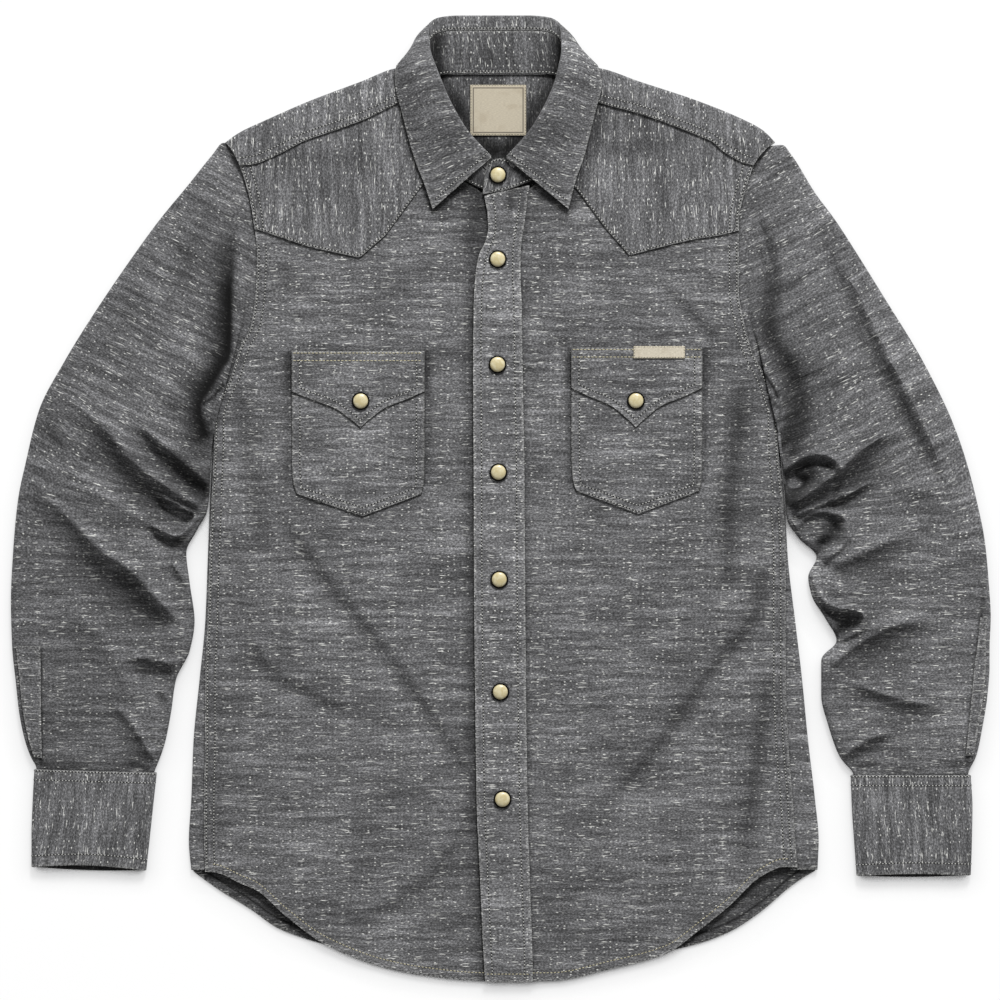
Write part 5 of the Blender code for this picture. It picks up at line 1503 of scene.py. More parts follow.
@dataclass
class BackYoke(Piece):
    """The back yoke, under the neck and folded over each shoulder."""

    step: float = 4.0
    rows: Pair = (1.4, 7.0)
    upper: float = 2.5

    def build(self) -> None:
        """Make the yoke and the stitches beside its front seams."""
        flats = fill((0, 0.35, 0.6, 0.8, 0.92, 1), 0.028)
        rows = [("flat", share) for share in flats]
        rows += [("roll", angle) for angle in range(-78, 91, 12)]
        rows += [("rise", share) for share in (0.12, 0.25, 0.38, 0.5, 0.62, 0.75, 0.88, 1.0)]
        rows += [("lap", share) for share in (0.15, 0.35, 0.55, 0.75, 0.9, 1.0)]
        nominal = fill([row.x for row in SHOULDERS], self.step)
        first, last = nominal[0], nominal[-1]
        share = (nominal - first) / (last - first)
        centre = ridge(nominal) - SHOULDER_ROLL
        seam = shoulder_seam(nominal)
        level = seam + LAP + LAP_EASE
        layers = []
        for kind, value in rows:
            z = np.zeros_like(nominal)
            if kind == "flat":
                y = mix(back_yoke_seam(nominal), centre, value)
                z = np.maximum(fold_height(YOKE_FOLDS, nominal, y), 0)
            elif kind == "roll":
                angle = math.radians(value)
                y = centre + SHOULDER_ROLL * math.cos(angle)
                z = z + SHOULDER_ROLL * (1 + math.sin(angle))
            elif kind == "rise":
                y = mix(centre, level, value)
                z = z + mix(2 * SHOULDER_ROLL, YOKE_TOP, value)
            else:
                y = mix(level, seam, value)
                z = z + YOKE_TOP
            x = np.where(y < SIDES[-1].y, mix(side_right(y), side_left(y), share), nominal)
            layers.append(np.stack((x, y, z), axis=1))
        face = np.stack(layers, axis=0)
        keep = np.ones((len(rows) - 1, len(nominal) - 1), bool)
        between = (nominal[:-1] >= WING_RIGHT - 0.01) & (nominal[:-1] < WING_LEFT - 0.01)
        keep[len(flats) - 1:, between] = False
        # Painted shade: the body's shadows on the outer face over the shoulders, and the neck's
        # shadows with an even fifth of shade on the inner face.
        over = face[:, :, 2] > self.upper
        shade = dimness(BODY_SHADOWS, face[:, :, 0], face[:, :, 1]) * over
        inner = dimness(NECK_SHADOWS, face[:, :, 0], face[:, :, 1]) * 0.8 + 0.2
        cloth = Cloth("back_yoke_panel", face, CLOTH - 0.05, 1, Grain.UPRIGHT, keep, shade=shade,
                      inner=inner, shift=(113.0, 40.0))
        cloth.lay(self.wardrobe.cloth, "back_yoke", "folded")
        neck = [(x - first) / (last - first) for x in (WING_RIGHT, WING_LEFT)]
        for start, end in ((0.01, neck[0]), (neck[1], 0.99)):
            self.wardrobe.seams.follow(cloth, Rim.TOP, self.rows, start, end, True)
        self.wardrobe.seams.follow(cloth, Rim.BOTTOM, self.rows, 0.01, 0.99, True, UNDER_LIFT)


YOKE_FOLDS = table(Fold,
    ((-35, 350), (-38, 300), 4, 0.9, 2, True), ((-30, 345), (-34, 290), 3, 0.7, -2, True),
    ((30, 340), (38, 290), 4, 0.8, 2, True), ((-120, 300), (-60, 240), 8, 0.8, 4, True),
    ((130, 290), (60, 240), 8, 0.8, -4, True),
)


@dataclass
class Fronts(Piece):
    """The two fronts, the left one lapping over the right one."""

    step: float = 3.2
    rows: int = 240
    hem: float = 6.0
    right_rows: Pair = (2.0, 8.5)
    left_rows: Pair = (4.5, 10.5)

    def shares(self) -> Array:
        """Return the rows of a panel, closer together at the hem."""
        return np.concatenate((fill((0, 0.02), 0.0024), fill((0.02, 1), 1 / self.rows)[1:]))

    def relief(self, x: Array, y: Array, inside: Array) -> Array:
        """Return what the seams and the weave add to a panel's outer face.

        Args:
            x: place across the shirt.
            y: place along the shirt.
            inside: distance from the hem.

        Returns:
            Height over the plain outer face.
        """
        hem = 0.35 * (1 - ease((inside - self.hem) / 1.5))
        pucker = np.sin(x * math.tau / 8.5 + 2.2 * np.sin(x / 19.0))
        pucker = pucker * np.exp(-((inside - 7) / 5) ** 2)
        return hem + 0.16 * pucker + FACE_RIPPLE(x, y)

    def shade(self, x: Array, y: Array) -> Array:
        """Return the painted shade of a panel: most of all where it dips beside the placket.

        Args:
            x: place across the shirt.
            y: place along the shirt.

        Returns:
            0 to 1 at each place.
        """
        right, left = placket_right(y) - x, x - placket_left(y)
        dips = 0.50 * np.exp(-(right / 8) ** 2) + 0.24 * np.exp(-(left / 5) ** 2)
        seams = np.minimum(x - seam_right(y), seam_left(y) - x)
        dips = dips + 0.16 * np.exp(-(seams / 7) ** 2)
        return 1 - (1 - np.clip(dips, 0, 0.6)) * (1 - dimness(BODY_SHADOWS, x, y))

    def right(self) -> None:
        """Make the right front."""
        top = outline(RIGHT_TOP)
        start, end = RIGHT_TOP[0].x, RIGHT_TOP[-1].x
        shares = self.shares()
        columns = []
        for nominal in fill([row.x for row in RIGHT_TOP], self.step):
            x = np.full_like(shares, nominal)
            for _ in range(3):
                y = mix(front_hem(x), top(nominal), shares)
                x = mix(seam_right(y), UNDERLAP, (nominal - start) / (end - start))
            columns.append((x, y, front_height(x, y)))
        self.finish("front_right", grid(columns), Rim.START)

    def left(self) -> None:
        """Make the left front."""
        top = outline(LEFT_TOP + UNDER_PLACKET)
        start, end = LEFT_TOP[-1].x, LEFT_TOP[0].x
        shares = self.shares()
        beside = [("placket", value) for value in fill((0, 1, 2, 3), 0.16)]
        tops = [row.x for row in reversed(LEFT_TOP)]
        panel = [("panel", value) for value in fill(tops, self.step)]

        def column(kind: str, value: float, y: Array) -> Array:
            """Return X along one column."""
            right, left = placket_right(y), placket_left(y)
            if kind == "panel":
                share = (value - start) / (end - start)
                return mix(left + 1 + PLACKET_EASE + 4, seam_left(y), share)
            lines = (right + 1.5, (right + left) / 2, left + 1, left + 1 + PLACKET_EASE / 2)
            low = min(int(value), 2)
            return mix(lines[low], lines[low + 1], value - low)

        columns = []
        for kind, value in beside + panel:
            nominal = float(column(kind, value, np.array(266.0))) if kind == "placket" else value
            x = np.full_like(shares, nominal)
            for _ in range(3):
                y = mix(front_hem(x), top(nominal), shares)
                x = column(kind, value, y)
            columns.append((x, y, overlap_height(x, y)))
        self.finish("front_left", grid(columns), Rim.END)

    def finish(self, node: str, face: Array, side: Rim) -> None:
        """Make a front's sheet and the stitches of its hem, side seam and armhole.

        Args:
            node: the front's name.
            face: points of its underside.
            side: the edge at its side seam and armhole.
        """
        inside = lengths(face, 0)
        relief = self.relief(face[:, :, 0], face[:, :, 1], inside)
        shift = (510.0, 90.0) if side is Rim.START else (1330.0, 210.0)
        cloth = Cloth(f"{node}_panel", face, CLOTH - 0.15, 1, Grain.LEVEL, relief=relief,
                      shade=self.shade(face[:, :, 0], face[:, :, 1]), shift=shift)
        cloth.lay(self.wardrobe.cloth, node, "laid", "back")
        self.wardrobe.hems.follow(cloth, Rim.BOTTOM, [self.hem + 1.0], 0.02, 0.98)
        rows = self.right_rows if side is Rim.START else self.left_rows
        self.wardrobe.seams.follow(cloth, side, rows, 0.012, 0.52)
        self.wardrobe.seams.follow(cloth, side, ARMHOLE_ROWS, 0.53, 0.88)


@dataclass
class FrontYoke(Piece):
    """A pointed front yoke, sewn on its front."""

    side: Side
    step: float = 2.6
    row: float = 1.5

    def build(self) -> None:
        """Make the yoke and its stitches."""
        right = self.side is Side.RIGHT
        tops, points = (RIGHT_TOP, RIGHT_YOKE_SEAM) if right else (LEFT_TOP, LEFT_YOKE_SEAM)
        seam_x = seam_right if right else seam_left
        top, seam = outline(tops), outline(points)
        known = sorted((row.x for row in tops if abs(row.x - COLLAR_MIDDLE) > YOKE_INNER),
                       key=lambda x: abs(x - COLLAR_MIDDLE))
        inner, outer = known[0], known[-1]
        shares = fill((0, 1), 1 / 46)
        columns = []
        tip = min(points, key=lambda point: point.y).x
        for nominal in fill(sorted(known + [tip]), self.step):
            x = np.full_like(shares, nominal)
            for _ in range(3):
                y = mix(seam(x), top(nominal), shares)
                x = mix(seam_x(y), inner, (nominal - outer) / (inner - outer))
            columns.append((x, y, front_height(x, y) + LAYER))
        face = grid(columns)
        relief = FACE_RIPPLE(face[:, :, 0] + 50, face[:, :, 1])
        name = f"front_yoke_{self.side.word}"
        # The yoke is given the body's painted shadows.
        cloth = Cloth(f"{name}_panel", face, CLOTH - 0.1, 1, Grain.UPRIGHT, relief=relief,
                      shade=dimness(BODY_SHADOWS, face[:, :, 0], face[:, :, 1]),
                      shift=(210.0 * self.side.value, 77.0))
        cloth.lay(self.wardrobe.cloth, name, "laid", f"front_{self.side.word}")
        self.wardrobe.seams.follow(cloth, Rim.BOTTOM, [self.row], 0.01, 0.99)
        rim = Rim.START if right else Rim.END
        self.wardrobe.seams.follow(cloth, rim, ARMHOLE_ROWS, 0.03, 0.97)


@dataclass
class FrontPlacket(Piece):
    """The placket, on the edge of the left front."""

    stitch: float = 6.8
    hem: float = 7.0

    def build(self) -> None:
        """Make the placket and its two rows of stitches."""
        top = outline(PLACKET_TOP)
        heights = np.concatenate((fill((0, 0.86), 0.0045), fill((0.86, 1), 0.0035)[1:]))
        columns = []
        for share in fill((0, 0.16, 0.5, 0.84, 1), 0.045):
            y = mix(-410, top(mix(-16, 24, share)), heights)
            x = mix(placket_right(y), placket_left(y), share)
            y = mix(front_hem(x) - 0.8, top(x), heights)
            x = mix(placket_right(y), placket_left(y), share)
            columns.append((x, y, front_height(x, y) + 2 * LAYER))
        face = grid(columns)
        x, y = face[:, :, 0], face[:, :, 1]
        near = np.minimum(x - placket_right(y), placket_left(y) - x)
        wave = np.sin(y * math.tau / 9.5 + 2.5 * np.sin(y / 23.0) + x * 0.05)
        relief = 0.14 * wave * np.exp(-((near - self.stitch) / 3.5) ** 2)
        relief = relief + FACE_RIPPLE(x, y) - 0.12 * np.exp(-((near - self.stitch) / 0.9) ** 2)
        # Painted shadows darken the placket near the collar; away from them its colour is made 18 %
        # lighter.
        shade = 1 - 1.18 * (1 - dimness(PLACKET_SHADOWS, x, y))
        cloth = Cloth("placket_panel", face, CLOTH, 1, Grain.LEVEL, relief=relief, shade=shade,
                      shift=(45.0, 350.0))
        cloth.lay(self.wardrobe.cloth, "placket", "laid", "front_left")
        for rim in (Rim.START, Rim.END):
            self.wardrobe.seams.follow(cloth, rim, [self.stitch], 0.004, 0.996)
        self.wardrobe.hems.follow(cloth, Rim.BOTTOM, [self.hem], 0.05, 0.95)


@dataclass
class ChestPocket(Piece):
    """A chest pocket with the flap that lies over its mouth."""

    side: Side
    right: float
    left: float
    top: float
    corner: float
    tip: Pair
    flap_corner: float
    flap_tip: Pair
    tuck: float = 2.0
    taper: float = 4.6
    edge_row: float = 1.8
    inner_row: float = 7.2
    flap_row: float = 6.2
    flap_side_row: float = 7.0
    flap_top_rows: Pair = (1.6, 8.0)

    def bottom(self, x: Array) -> Array:
        """Return the pocket's lower edge."""
        rows = (Point(self.right, self.corner), Point(*self.tip), Point(self.left, self.corner))
        return outline(rows)(x)

    def flap_bottom(self, x: Array) -> Array:
        """Return the flap's lower edge."""
        tip_x, tip_y = self.flap_tip
        reach = np.where(x > tip_x, self.left - tip_x, tip_x - self.right)
        return self.flap_corner - (self.flap_corner - tip_y) * flap_drop(abs(x - tip_x) / reach)

    def build(self) -> None:
        """Make the pocket and its flap, with their stitches."""
        heights = fill((0, 1), 1 / 60)
        top = self.top - self.tuck
        share_tip = (self.tip[0] - self.right) / (self.left - self.right)
        columns = []
        for share in fill((0, 0.01, 0.025, share_tip, 0.975, 0.99, 1), 0.02):
            y = mix(self.bottom(mix(self.right, self.left, share)), top, heights)
            inset = self.taper * np.exp(np.minimum(self.corner - y, 0) / 8)
            x = mix(self.right + inset, self.left - inset * 0.6, share)
            columns.append((x, y, front_height(x, y) + LAYER))
        pocket = self.sheet("pocket", grid(columns), "front")
        for rim in (Rim.START, Rim.END):
            self.wardrobe.seams.follow(pocket, rim, [self.inner_row], 0.06, 0.66)
        self.wardrobe.seams.follow(pocket, Rim.BOTTOM, [self.edge_row], 0.10, 0.90)
        self.wardrobe.seams.follow(pocket, Rim.BOTTOM, [self.inner_row], 0.06, 0.94)

        share_tip = (self.flap_tip[0] - self.right) / (self.left - self.right)
        columns = []
        for share in fill((0, 0.01, 0.025, share_tip, 0.975, 0.99, 1), 0.016):
            x = mix(self.right, self.left, share) * np.ones_like(heights[::2])
            y = mix(self.flap_bottom(x), self.top, heights[::2])
            columns.append((x, y, front_height(x, y) + 2 * LAYER))
        flap = self.sheet("flap", grid(columns), "pocket")
        for rim in (Rim.START, Rim.END):
            self.wardrobe.seams.follow(flap, rim, [self.flap_side_row], 0.16, 0.86)
        self.wardrobe.seams.follow(flap, Rim.BOTTOM, [self.flap_row], 0.06, 0.94)
        self.wardrobe.flaps.follow(flap, Rim.TOP, self.flap_top_rows, 0.02, 0.98)

    def sheet(self, part: str, face: Array, below: str) -> Cloth:
        """Make one sheet of the pocket.

        Args:
            part: pocket or flap.
            face: points of its underside.
            below: the part of the shirt that it lies on.

        Returns:
            The sheet.
        """
        node = f"{part}_{self.side.word}"
        near = np.minimum(lengths(face, 0), lengths(face, 1))
        far = np.minimum(lengths(face[::-1], 0)[::-1], lengths(face[:, ::-1], 1)[:, ::-1])
        near = np.minimum(near, far)
        wave = np.sin(face[:, :, 0] * 0.72) + np.sin(face[:, :, 1] * 0.66 + 1.0)
        relief = 0.09 * wave * np.exp(-((near - 4) / 3.5) ** 2)
        relief = relief + FACE_RIPPLE(face[:, :, 0], face[:, :, 1] + 90) * 0.8
        # Painted shade: a dark line along the sheet's two sides.
        side = np.minimum(lengths(face, 1), lengths(face[:, ::-1], 1)[:, ::-1])
        shift = 90.0 * self.side.value + len(node) * 31.0
        cloth = Cloth(f"{node}_panel", face, CLOTH - 0.1, 1, Grain.LEVEL, relief=relief,
                      shade=0.62 * np.exp(-(side / 1.0) ** 2), shift=(shift, 500.0))
        cloth.lay(self.wardrobe.cloth, node, "laid", f"{below}_{self.side.word}")
        return cloth


class Tube:
    """A flattened tube of cloth, read from a table of rings."""

    def __init__(self, rings: Sequence[Ring], wall: float, folds: Sequence[Crease] = (),
                 ripple: Ripple | None = None) -> None:
        """Make a reader for each of the rings' columns.

        Args:
            rings: the sections.
            wall: the cloth's thickness.
            folds: the folds of the upper face.
            ripple: its unevenness.
        """
        self.wall = wall
        self.folds = folds
        self.ripple = ripple
        numbers = list(range(len(rings)))
        self.outer = [Smooth(numbers, [ring.outer[axis] for ring in rings]) for axis in (0, 1)]
        self.inner = [Smooth(numbers, [ring.inner[axis] for ring in rings]) for axis in (0, 1)]
        self.bow = Smooth(numbers, [ring.bow for ring in rings])
        self.base = straight(numbers, [ring.base for ring in rings])
        self.rim = straight(numbers, [ring.rim for ring in rings])
        self.loft = straight(numbers, [ring.loft for ring in rings])
        self.lip = straight(numbers, [ring.lip for ring in rings])

    def ends(self, ring: Array) -> tuple[Array, Array]:
        """Return the two folds of each section, seen from above."""
        return (np.stack([read(ring) for read in self.outer], -1),
                np.stack([read(ring) for read in self.inner], -1))

    def stations(self, step: float) -> Array:
        """Return places along the tube, counted in rings, a step apart at its middle."""
        numbers = np.arange(len(self.bow.keys))
        outer, inner = self.ends(numbers)
        run = np.linalg.norm(np.diff((outer + inner) / 2, axis=0), axis=1)
        places = [0.0]
        for number, length in enumerate(run):
            count = max(int(math.ceil(length / step)), 1)
            places += [number + (part + 1) / count for part in range(count)]
        return np.array(places)

    def plan(self, ring: Array, share: Number) -> Array:
        """Return the place on each section at a share of the way across it.

        Args:
            ring: places along the tube.
            share: share of the way from the outer fold to the inner one.

        Returns:
            X and Y of each place.
        """
        outer, inner = self.ends(ring)
        run = inner - outer
        unit = run / np.linalg.norm(run, axis=-1, keepdims=True)
        share = np.asarray(share * np.ones_like(ring))
        arch = self.bow(ring) * 4 * share * (1 - share)
        left = np.stack((-unit[..., 1], unit[..., 0]), -1)
        return outer + run * share[..., None] + left * arch[..., None]

    def roll_share(self, ring: Array) -> Array:
        """Return how much of each section's width a rounded fold takes."""
        outer, inner = self.ends(ring)
        return self.rim(ring) / 2 / np.linalg.norm(inner - outer, axis=-1)

    def top(self, ring: Array, share: Number) -> Array:
        """Return points on the upper face of the tube.

        Args:
            ring: places along the tube.
            share: share of the way from the outer fold to the inner one.

        Returns:
            The points.
        """
        plan = self.plan(ring, share)
        x, y = plan[..., 0], plan[..., 1]
        fullness = 1 - abs(2 * share - 1) ** 3
        rim, loft = self.rim(ring), self.loft(ring)
        free = ease((loft - 2.6) / 4)
        beside = ease(np.minimum(share, 1 - share) / 0.07) * free
        folds = fold_height(self.folds, x, y)
        if self.ripple:
            folds = folds + self.ripple(x, y)
        height = np.maximum(rim + (loft - rim) * fullness + folds * beside, 2 * self.wall + 0.6)
        lip = self.lip(ring) * np.sin(math.pi * share)
        return np.stack((x, y + lip, self.base(ring) + height), -1)

    def column(self, kind: str, value: float, ring: Array) -> Array:
        """Return points along the outside of the tube at one place round its sections.

        Args:
            kind: under, over, or the fold that is outer or inner.
            value: share of the way across, or angle round the fold in degrees.
            ring: places along the tube.

        Returns:
            The points.
        """
        roll, radius = self.roll_share(ring), self.rim(ring) / 2
        if kind == "under":
            plan = self.plan(ring, mix(roll, 1 - roll, value))
            lift = self.base(ring)
            return np.concatenate((plan, lift[:, None]), axis=1)
        if kind == "over":
            return self.top(ring, mix(1 - roll, roll, value))
        angle = math.radians(value)
        out = math.cos(angle)
        share = roll * (1 - out) if kind == "outer" else 1 - roll * (1 - out)
        plan = self.plan(ring, share)
        lift = self.base(ring) + radius * (1 + math.sin(angle))
        return np.concatenate((plan, lift[:, None]), axis=1)

    def face(self, rings: Array, under: int, over: int, turn: float = 15.0) -> Array:
        """Return the grid of the tube's outside, from its outer fold round to it again.

        Args:
            rings: places along the tube.
            under: count of steps across the lower face.
            over: count of steps across the upper face, were they even.
            turn: angle of each step round the folds, in degrees.

        Returns:
            The points.
        """
        angles = np.arange(-90 + turn, 90, turn)
        keys = [("under", share) for share in fill((0, 1), 1 / under)]
        keys += [("inner", angle) for angle in angles]
        shares = np.concatenate((fill((0, 0.6), 1 / over), fill((0.6, 1), 1.8 / over)[1:]))
        keys += [("over", share) for share in shares]
        keys += [("outer", angle) for angle in angles[::-1]] + [("under", 0.0)]
        return np.stack([self.column(kind, value, rings) for kind, value in keys], axis=1)


@dataclass
class Sleeve(Piece):
    """A sleeve with its placket strip, and its cuff."""

    side: Side
    rings: Sequence[Ring]
    folds: Sequence[Crease]
    shadows: Sequence[Crease]
    slit: Sequence[Slit]
    cuff_rings: Sequence[Ring]
    # An even painted shade over the whole sleeve, 0 to 1.
    dull: float
    cuff_rows: tuple[float, ...] = (1.2, 8.8)
    mouth_row: float = 9.5
    placket_row: float = 1.5
    step: float = 2.1
    under: int = 20
    over: int = 92
    cuff_under: int = 30
    cuff_over: int = 46
    slant: float = 27.0

    def build(self) -> None:
        """Make the sleeve, its placket strip and the cuff."""
        ripple = Ripple(seed=21 + self.side.value, rise=0.32, shortest=22, longest=70)
        tube = Tube(self.rings, SLEEVE_CLOTH, self.folds, ripple)
        face = tube.face(tube.stations(self.step), self.under, self.over)
        x, y = face[:, :, 0], face[:, :, 1]
        # Painted shade on the upper face: darker in the folds' troughs, under the sleeve's shadows,
        # and evenly over the whole sleeve.
        sunk = np.clip(-0.06 * fold_height(self.folds, x, y), 0, 0.5)
        shade = 1 - (1 - sunk) * (1 - dimness(self.shadows, x, y)) * (1 - self.dull)
        sleeve = Cloth(f"sleeve_{self.side.word}_tube", face, SLEEVE_CLOTH, self.side.value,
                       closed=True, shade=shade * ease((face[:, :, 2] - 2.5) / 2), inner=0.0,
                       weave=self.weave(x, y))
        sleeve.lay(self.wardrobe.cloth, f"sleeve_{self.side.word}", "laid")
        self.placket(tube)
        self.cuff()

    def weave(self, x: Array, y: Array) -> Array:
        """Return places in the weave, whose weft lies square to the sleeve and turns at its elbow.

        Args:
            x: place across the shirt.
            y: place along the shirt.

        Returns:
            Place along the weft and along the warp.
        """
        angle = self.side.value * math.radians(self.slant) * ease((y + 50) / 120)
        aside, up = x - self.side.value * 330, y
        weft = aside * np.cos(angle) + up * np.sin(angle)
        warp = up * np.cos(angle) - aside * np.sin(angle)
        return np.stack((weft + 900 * self.side.value, warp + 1500), axis=2)

    def placket(self, tube: Tube) -> None:
        """Make the placket strip at the sleeve's outer edge.

        Args:
            tube: the sleeve.
        """
        edge = Smooth([row.ring for row in self.slit], [row.x for row in self.slit])
        rings = fill((self.slit[0].ring, self.slit[-1].ring), 0.08)
        outer, inner = tube.ends(rings)
        line = (edge(rings) - outer[:, 0]) / (inner[:, 0] - outer[:, 0])
        columns = []
        for share in fill((0, 1), 0.1):
            points = tube.top(rings, mix(tube.roll_share(rings) + 0.005, line, share))
            columns.append(points + np.array((0.0, 0.0, 2 * SEAM)))
        name = f"sleeve_placket_{self.side.word}"
        cloth = Cloth(f"{name}_strip", np.stack(columns, axis=1), SLEEVE_CLOTH - 0.1,
                      self.side.value, Grain.ACROSS, shift=(77.0, 20.0))
        cloth.lay(self.wardrobe.cloth, name, "laid", f"sleeve_{self.side.word}")
        self.wardrobe.seams.follow(cloth, Rim.TOP, [self.placket_row], 0.05, 0.95)

    def cuff(self) -> None:
        """Make the cuff."""
        ripple = Ripple(seed=5 + self.side.value, rise=0.10, shortest=12, longest=40)
        tube = Tube(self.cuff_rings, PLIES, (), ripple)
        rings = fill((0, len(self.cuff_rings) - 1), 0.08)
        face = tube.face(rings, self.cuff_under, self.cuff_over)
        away = lengths(face[::-1], 0)[::-1]
        # Painted shade on the inner face of the lower side, darkest at the cuff's mouth.
        mouth = 0.92 * (1 - ease(away / 9)) * (face[:, :, 2] < 3)
        cloth = Cloth(f"cuff_{self.side.word}_band", face, PLIES, self.side.value, Grain.ALONG,
                      closed=True, inner=mouth, shift=(150.0 * self.side.value, 61.0))
        cloth.lay(self.wardrobe.cloth, f"cuff_{self.side.word}", "laid")
        self.wardrobe.seams.follow(cloth, Rim.BOTTOM, self.cuff_rows, 0, 1, True)
        self.wardrobe.seams.follow(cloth, Rim.TOP, [self.mouth_row], 0, 1, True)


class CollarSection:
    """One section through the collar."""

    def __init__(self, shape: "CollarShape", station: float) -> None:
        """Read the section's points and work out its roll."""
        self.foot, self.roll, self.belly, self.edge = (
            Vector([float(axis(station)) for axis in shape.points[name]])
            for name in ("foot", "roll", "belly", "edge"))
        to_centre = (Vector((*NECK_CENTRE, 0)) - Vector((self.roll.x, self.roll.y, 0))).normalized()
        turn = math.radians(float(shape.turn(station)))
        up = Vector((0, 0, 1))
        self.stand_side = to_centre * math.cos(turn) + up * math.sin(turn)
        self.crest = up * math.cos(turn) - to_centre * math.sin(turn)
        self.centre = self.roll - self.crest * ROLL
        foot_angle, foot_tangent = self.bearing(self.foot)
        belly_angle, belly_tangent = self.bearing(self.belly)
        self.start = foot_angle + foot_tangent
        self.end = belly_angle % math.tau - belly_tangent

    def bearing(self, point: Vector) -> Pair:
        """Return a point's angle about the roll, and the angle of the tangent to it."""
        offset = point - self.centre
        flat = Vector((offset.dot(self.stand_side), offset.dot(self.crest)))
        return math.atan2(flat.y, flat.x), math.acos(min(ROLL / flat.length, 1.0))

    def arc(self, share: float) -> Vector:
        """Return a point on the roll."""
        angle = mix(self.start, self.end, share)
        return self.centre + (self.stand_side * math.cos(angle) + self.crest * math.sin(angle)) * ROLL

    def seam(self, gap: float = 0.0) -> Vector:
        """Return a point on the seam of stand and leaf, moved down the stand by a gap."""
        top = self.arc(0)
        return top + (self.foot - top).normalized() * (SEAM_DROP + gap)

    def leaf(self, value: float) -> Vector:
        """Return a point of the leaf: run from the seam, roll, then fall to its edge."""
        if value < 1:
            return self.seam().lerp(self.arc(0), value)
        if value < 2:
            return self.arc(value - 1)
        start, share = self.arc(1), value - 2
        return start.lerp(self.belly, share).lerp(self.belly.lerp(self.edge, share), share)

    def stand(self, share: float) -> Vector:
        """Return a point of the stand, from its foot up to the seam."""
        return self.foot.lerp(self.seam(LEAF_GAP), share)


class CollarShape:
    """The collar's table of half sections, read from one front end round to the other."""

    def __init__(self) -> None:
        """Mirror the table and make a reader for each point."""
        half = len(COLLAR) - 1
        rows = [(-number, row, -1) for number, row in enumerate(COLLAR)]
        rows += [(number, row, 1) for number, row in enumerate(COLLAR) if number]
        rows.sort(key=lambda row: row[0])
        keys = [row[0] for row in rows]
        self.first, self.last = -half, half
        self.points = {}
        for name in ("foot", "roll", "belly", "edge"):
            self.points[name] = [
                Smooth(keys, [getattr(row, name)[axis] * (sign if axis == 0 else 1)
                              for _, row, sign in rows]) for axis in range(3)]
        self.turn = Smooth(keys, [row.turn for _, row, _ in rows])


def leaned(points: Array) -> Array:
    """Return points of the collar, moved to the side by the way the collar lies."""
    moved = points.copy()
    moved[..., 0] += collar_lean(points[..., 1])
    return moved


@dataclass
class CollarPiece(Piece):
    """The collar: a leaf folded over its stand, whose left end laps over the right one."""

    step: float = 0.14
    point_row: float = 5.0
    fold_row: float = 1.5
    foot_row: float = 1.6
    inner_foot_row: float = 2.0
    top_row: float = 1.4

    def build(self) -> None:
        """Make the leaf and the stand."""
        shape = CollarShape()
        self.leaf(shape)
        self.stand(shape)

    def leaf(self, shape: CollarShape) -> None:
        """Make the leaf.

        Args:
            shape: the collar's sections.
        """
        stations = fill((shape.first, shape.last), self.step)
        keys = np.concatenate((fill((0, 1), 0.25), fill((1, 2), 0.14)[1:], fill((2, 3), 0.05)[1:]))
        sections = [CollarSection(shape, float(station)) for station in stations]
        face = np.array([[section.leaf(float(key)) for section in sections] for key in keys])
        cloth = Cloth("collar_leaf_band", leaned(face), LEAF_PLIES, -1, Grain.ALONG,
                      shift=(12.0, 33.0))
        cloth.lay(self.wardrobe.cloth, "collar_leaf", "folded", "collar_stand")
        for rim in (Rim.START, Rim.END):
            self.wardrobe.seams.follow(cloth, rim, [self.point_row], 0.08, 0.97, True)
        self.wardrobe.seams.follow(cloth, Rim.BOTTOM, [self.fold_row], 0.3, 0.7, True)

    def shade(self, face: Array) -> Array:
        """Return the stand's painted shade: beside the rolls, and on the end under the tab."""
        x, y = face[:, :, 0], face[:, :, 1]
        under = 0.5 * ease((7.3 - face[:, :, 2]) / 1.2) * ease((292 - y) / 10)
        under = 1 - (1 - under) * (1 - dimness(TAB_SHADOWS, x, y) * ease((294 - y) / 4))
        return 1 - (1 - dimness(NECK_SHADOWS, x, y) * ease((y - 292) / 12)) * (1 - under)

    def stand(self, shape: CollarShape) -> None:
        """Make the stand with its two ends.

        Args:
            shape: the collar's sections.
        """
        aside = np.array((COLLAR_MIDDLE, 0.0, 0.0))
        rows = [np.array((tab.foot, tab.head)) + aside for tab in reversed(UNDER_TAB)]
        last = shape.last - 1
        for station in fill((shape.first, last), 0.5)[:2 * (last - shape.first) + 1]:
            section = CollarSection(shape, float(station))
            rows.append(leaned(np.array((section.stand(0), section.stand(1)))))
        rows += [np.array((tab.foot, tab.head)) + aside for tab in OVER_TAB]
        table = np.array(rows)
        numbers = np.arange(len(rows))
        places = fill((0, len(rows) - 1), 0.22)
        ends = [np.stack([Smooth(numbers, table[:, end, axis])(places) for axis in range(3)], -1)
                for end in (0, 1)]
        face = np.stack([mix(ends[0], ends[1], share) for share in fill((0, 1), 1 / 14)], axis=0)
        # The stand is painted darker: it takes the shaded copy of the chambray and its own painted
        # shade.
        cloth = Cloth("collar_stand_band", face, PLIES, -1, Grain.ALONG,
                      shade=self.shade(face), shift=(88.0, 10.0))
        cloth.lay(self.wardrobe.shade, "collar_stand", "folded", "back_yoke")
        self.wardrobe.seams.follow(cloth, Rim.BOTTOM, [self.foot_row], 0.02, 0.98)
        self.wardrobe.seams.follow(cloth, Rim.TOP, [self.top_row], 0.9, 0.99)
        self.wardrobe.seams.follow(cloth, Rim.BOTTOM, [self.inner_foot_row], 0.22, 0.78, True)


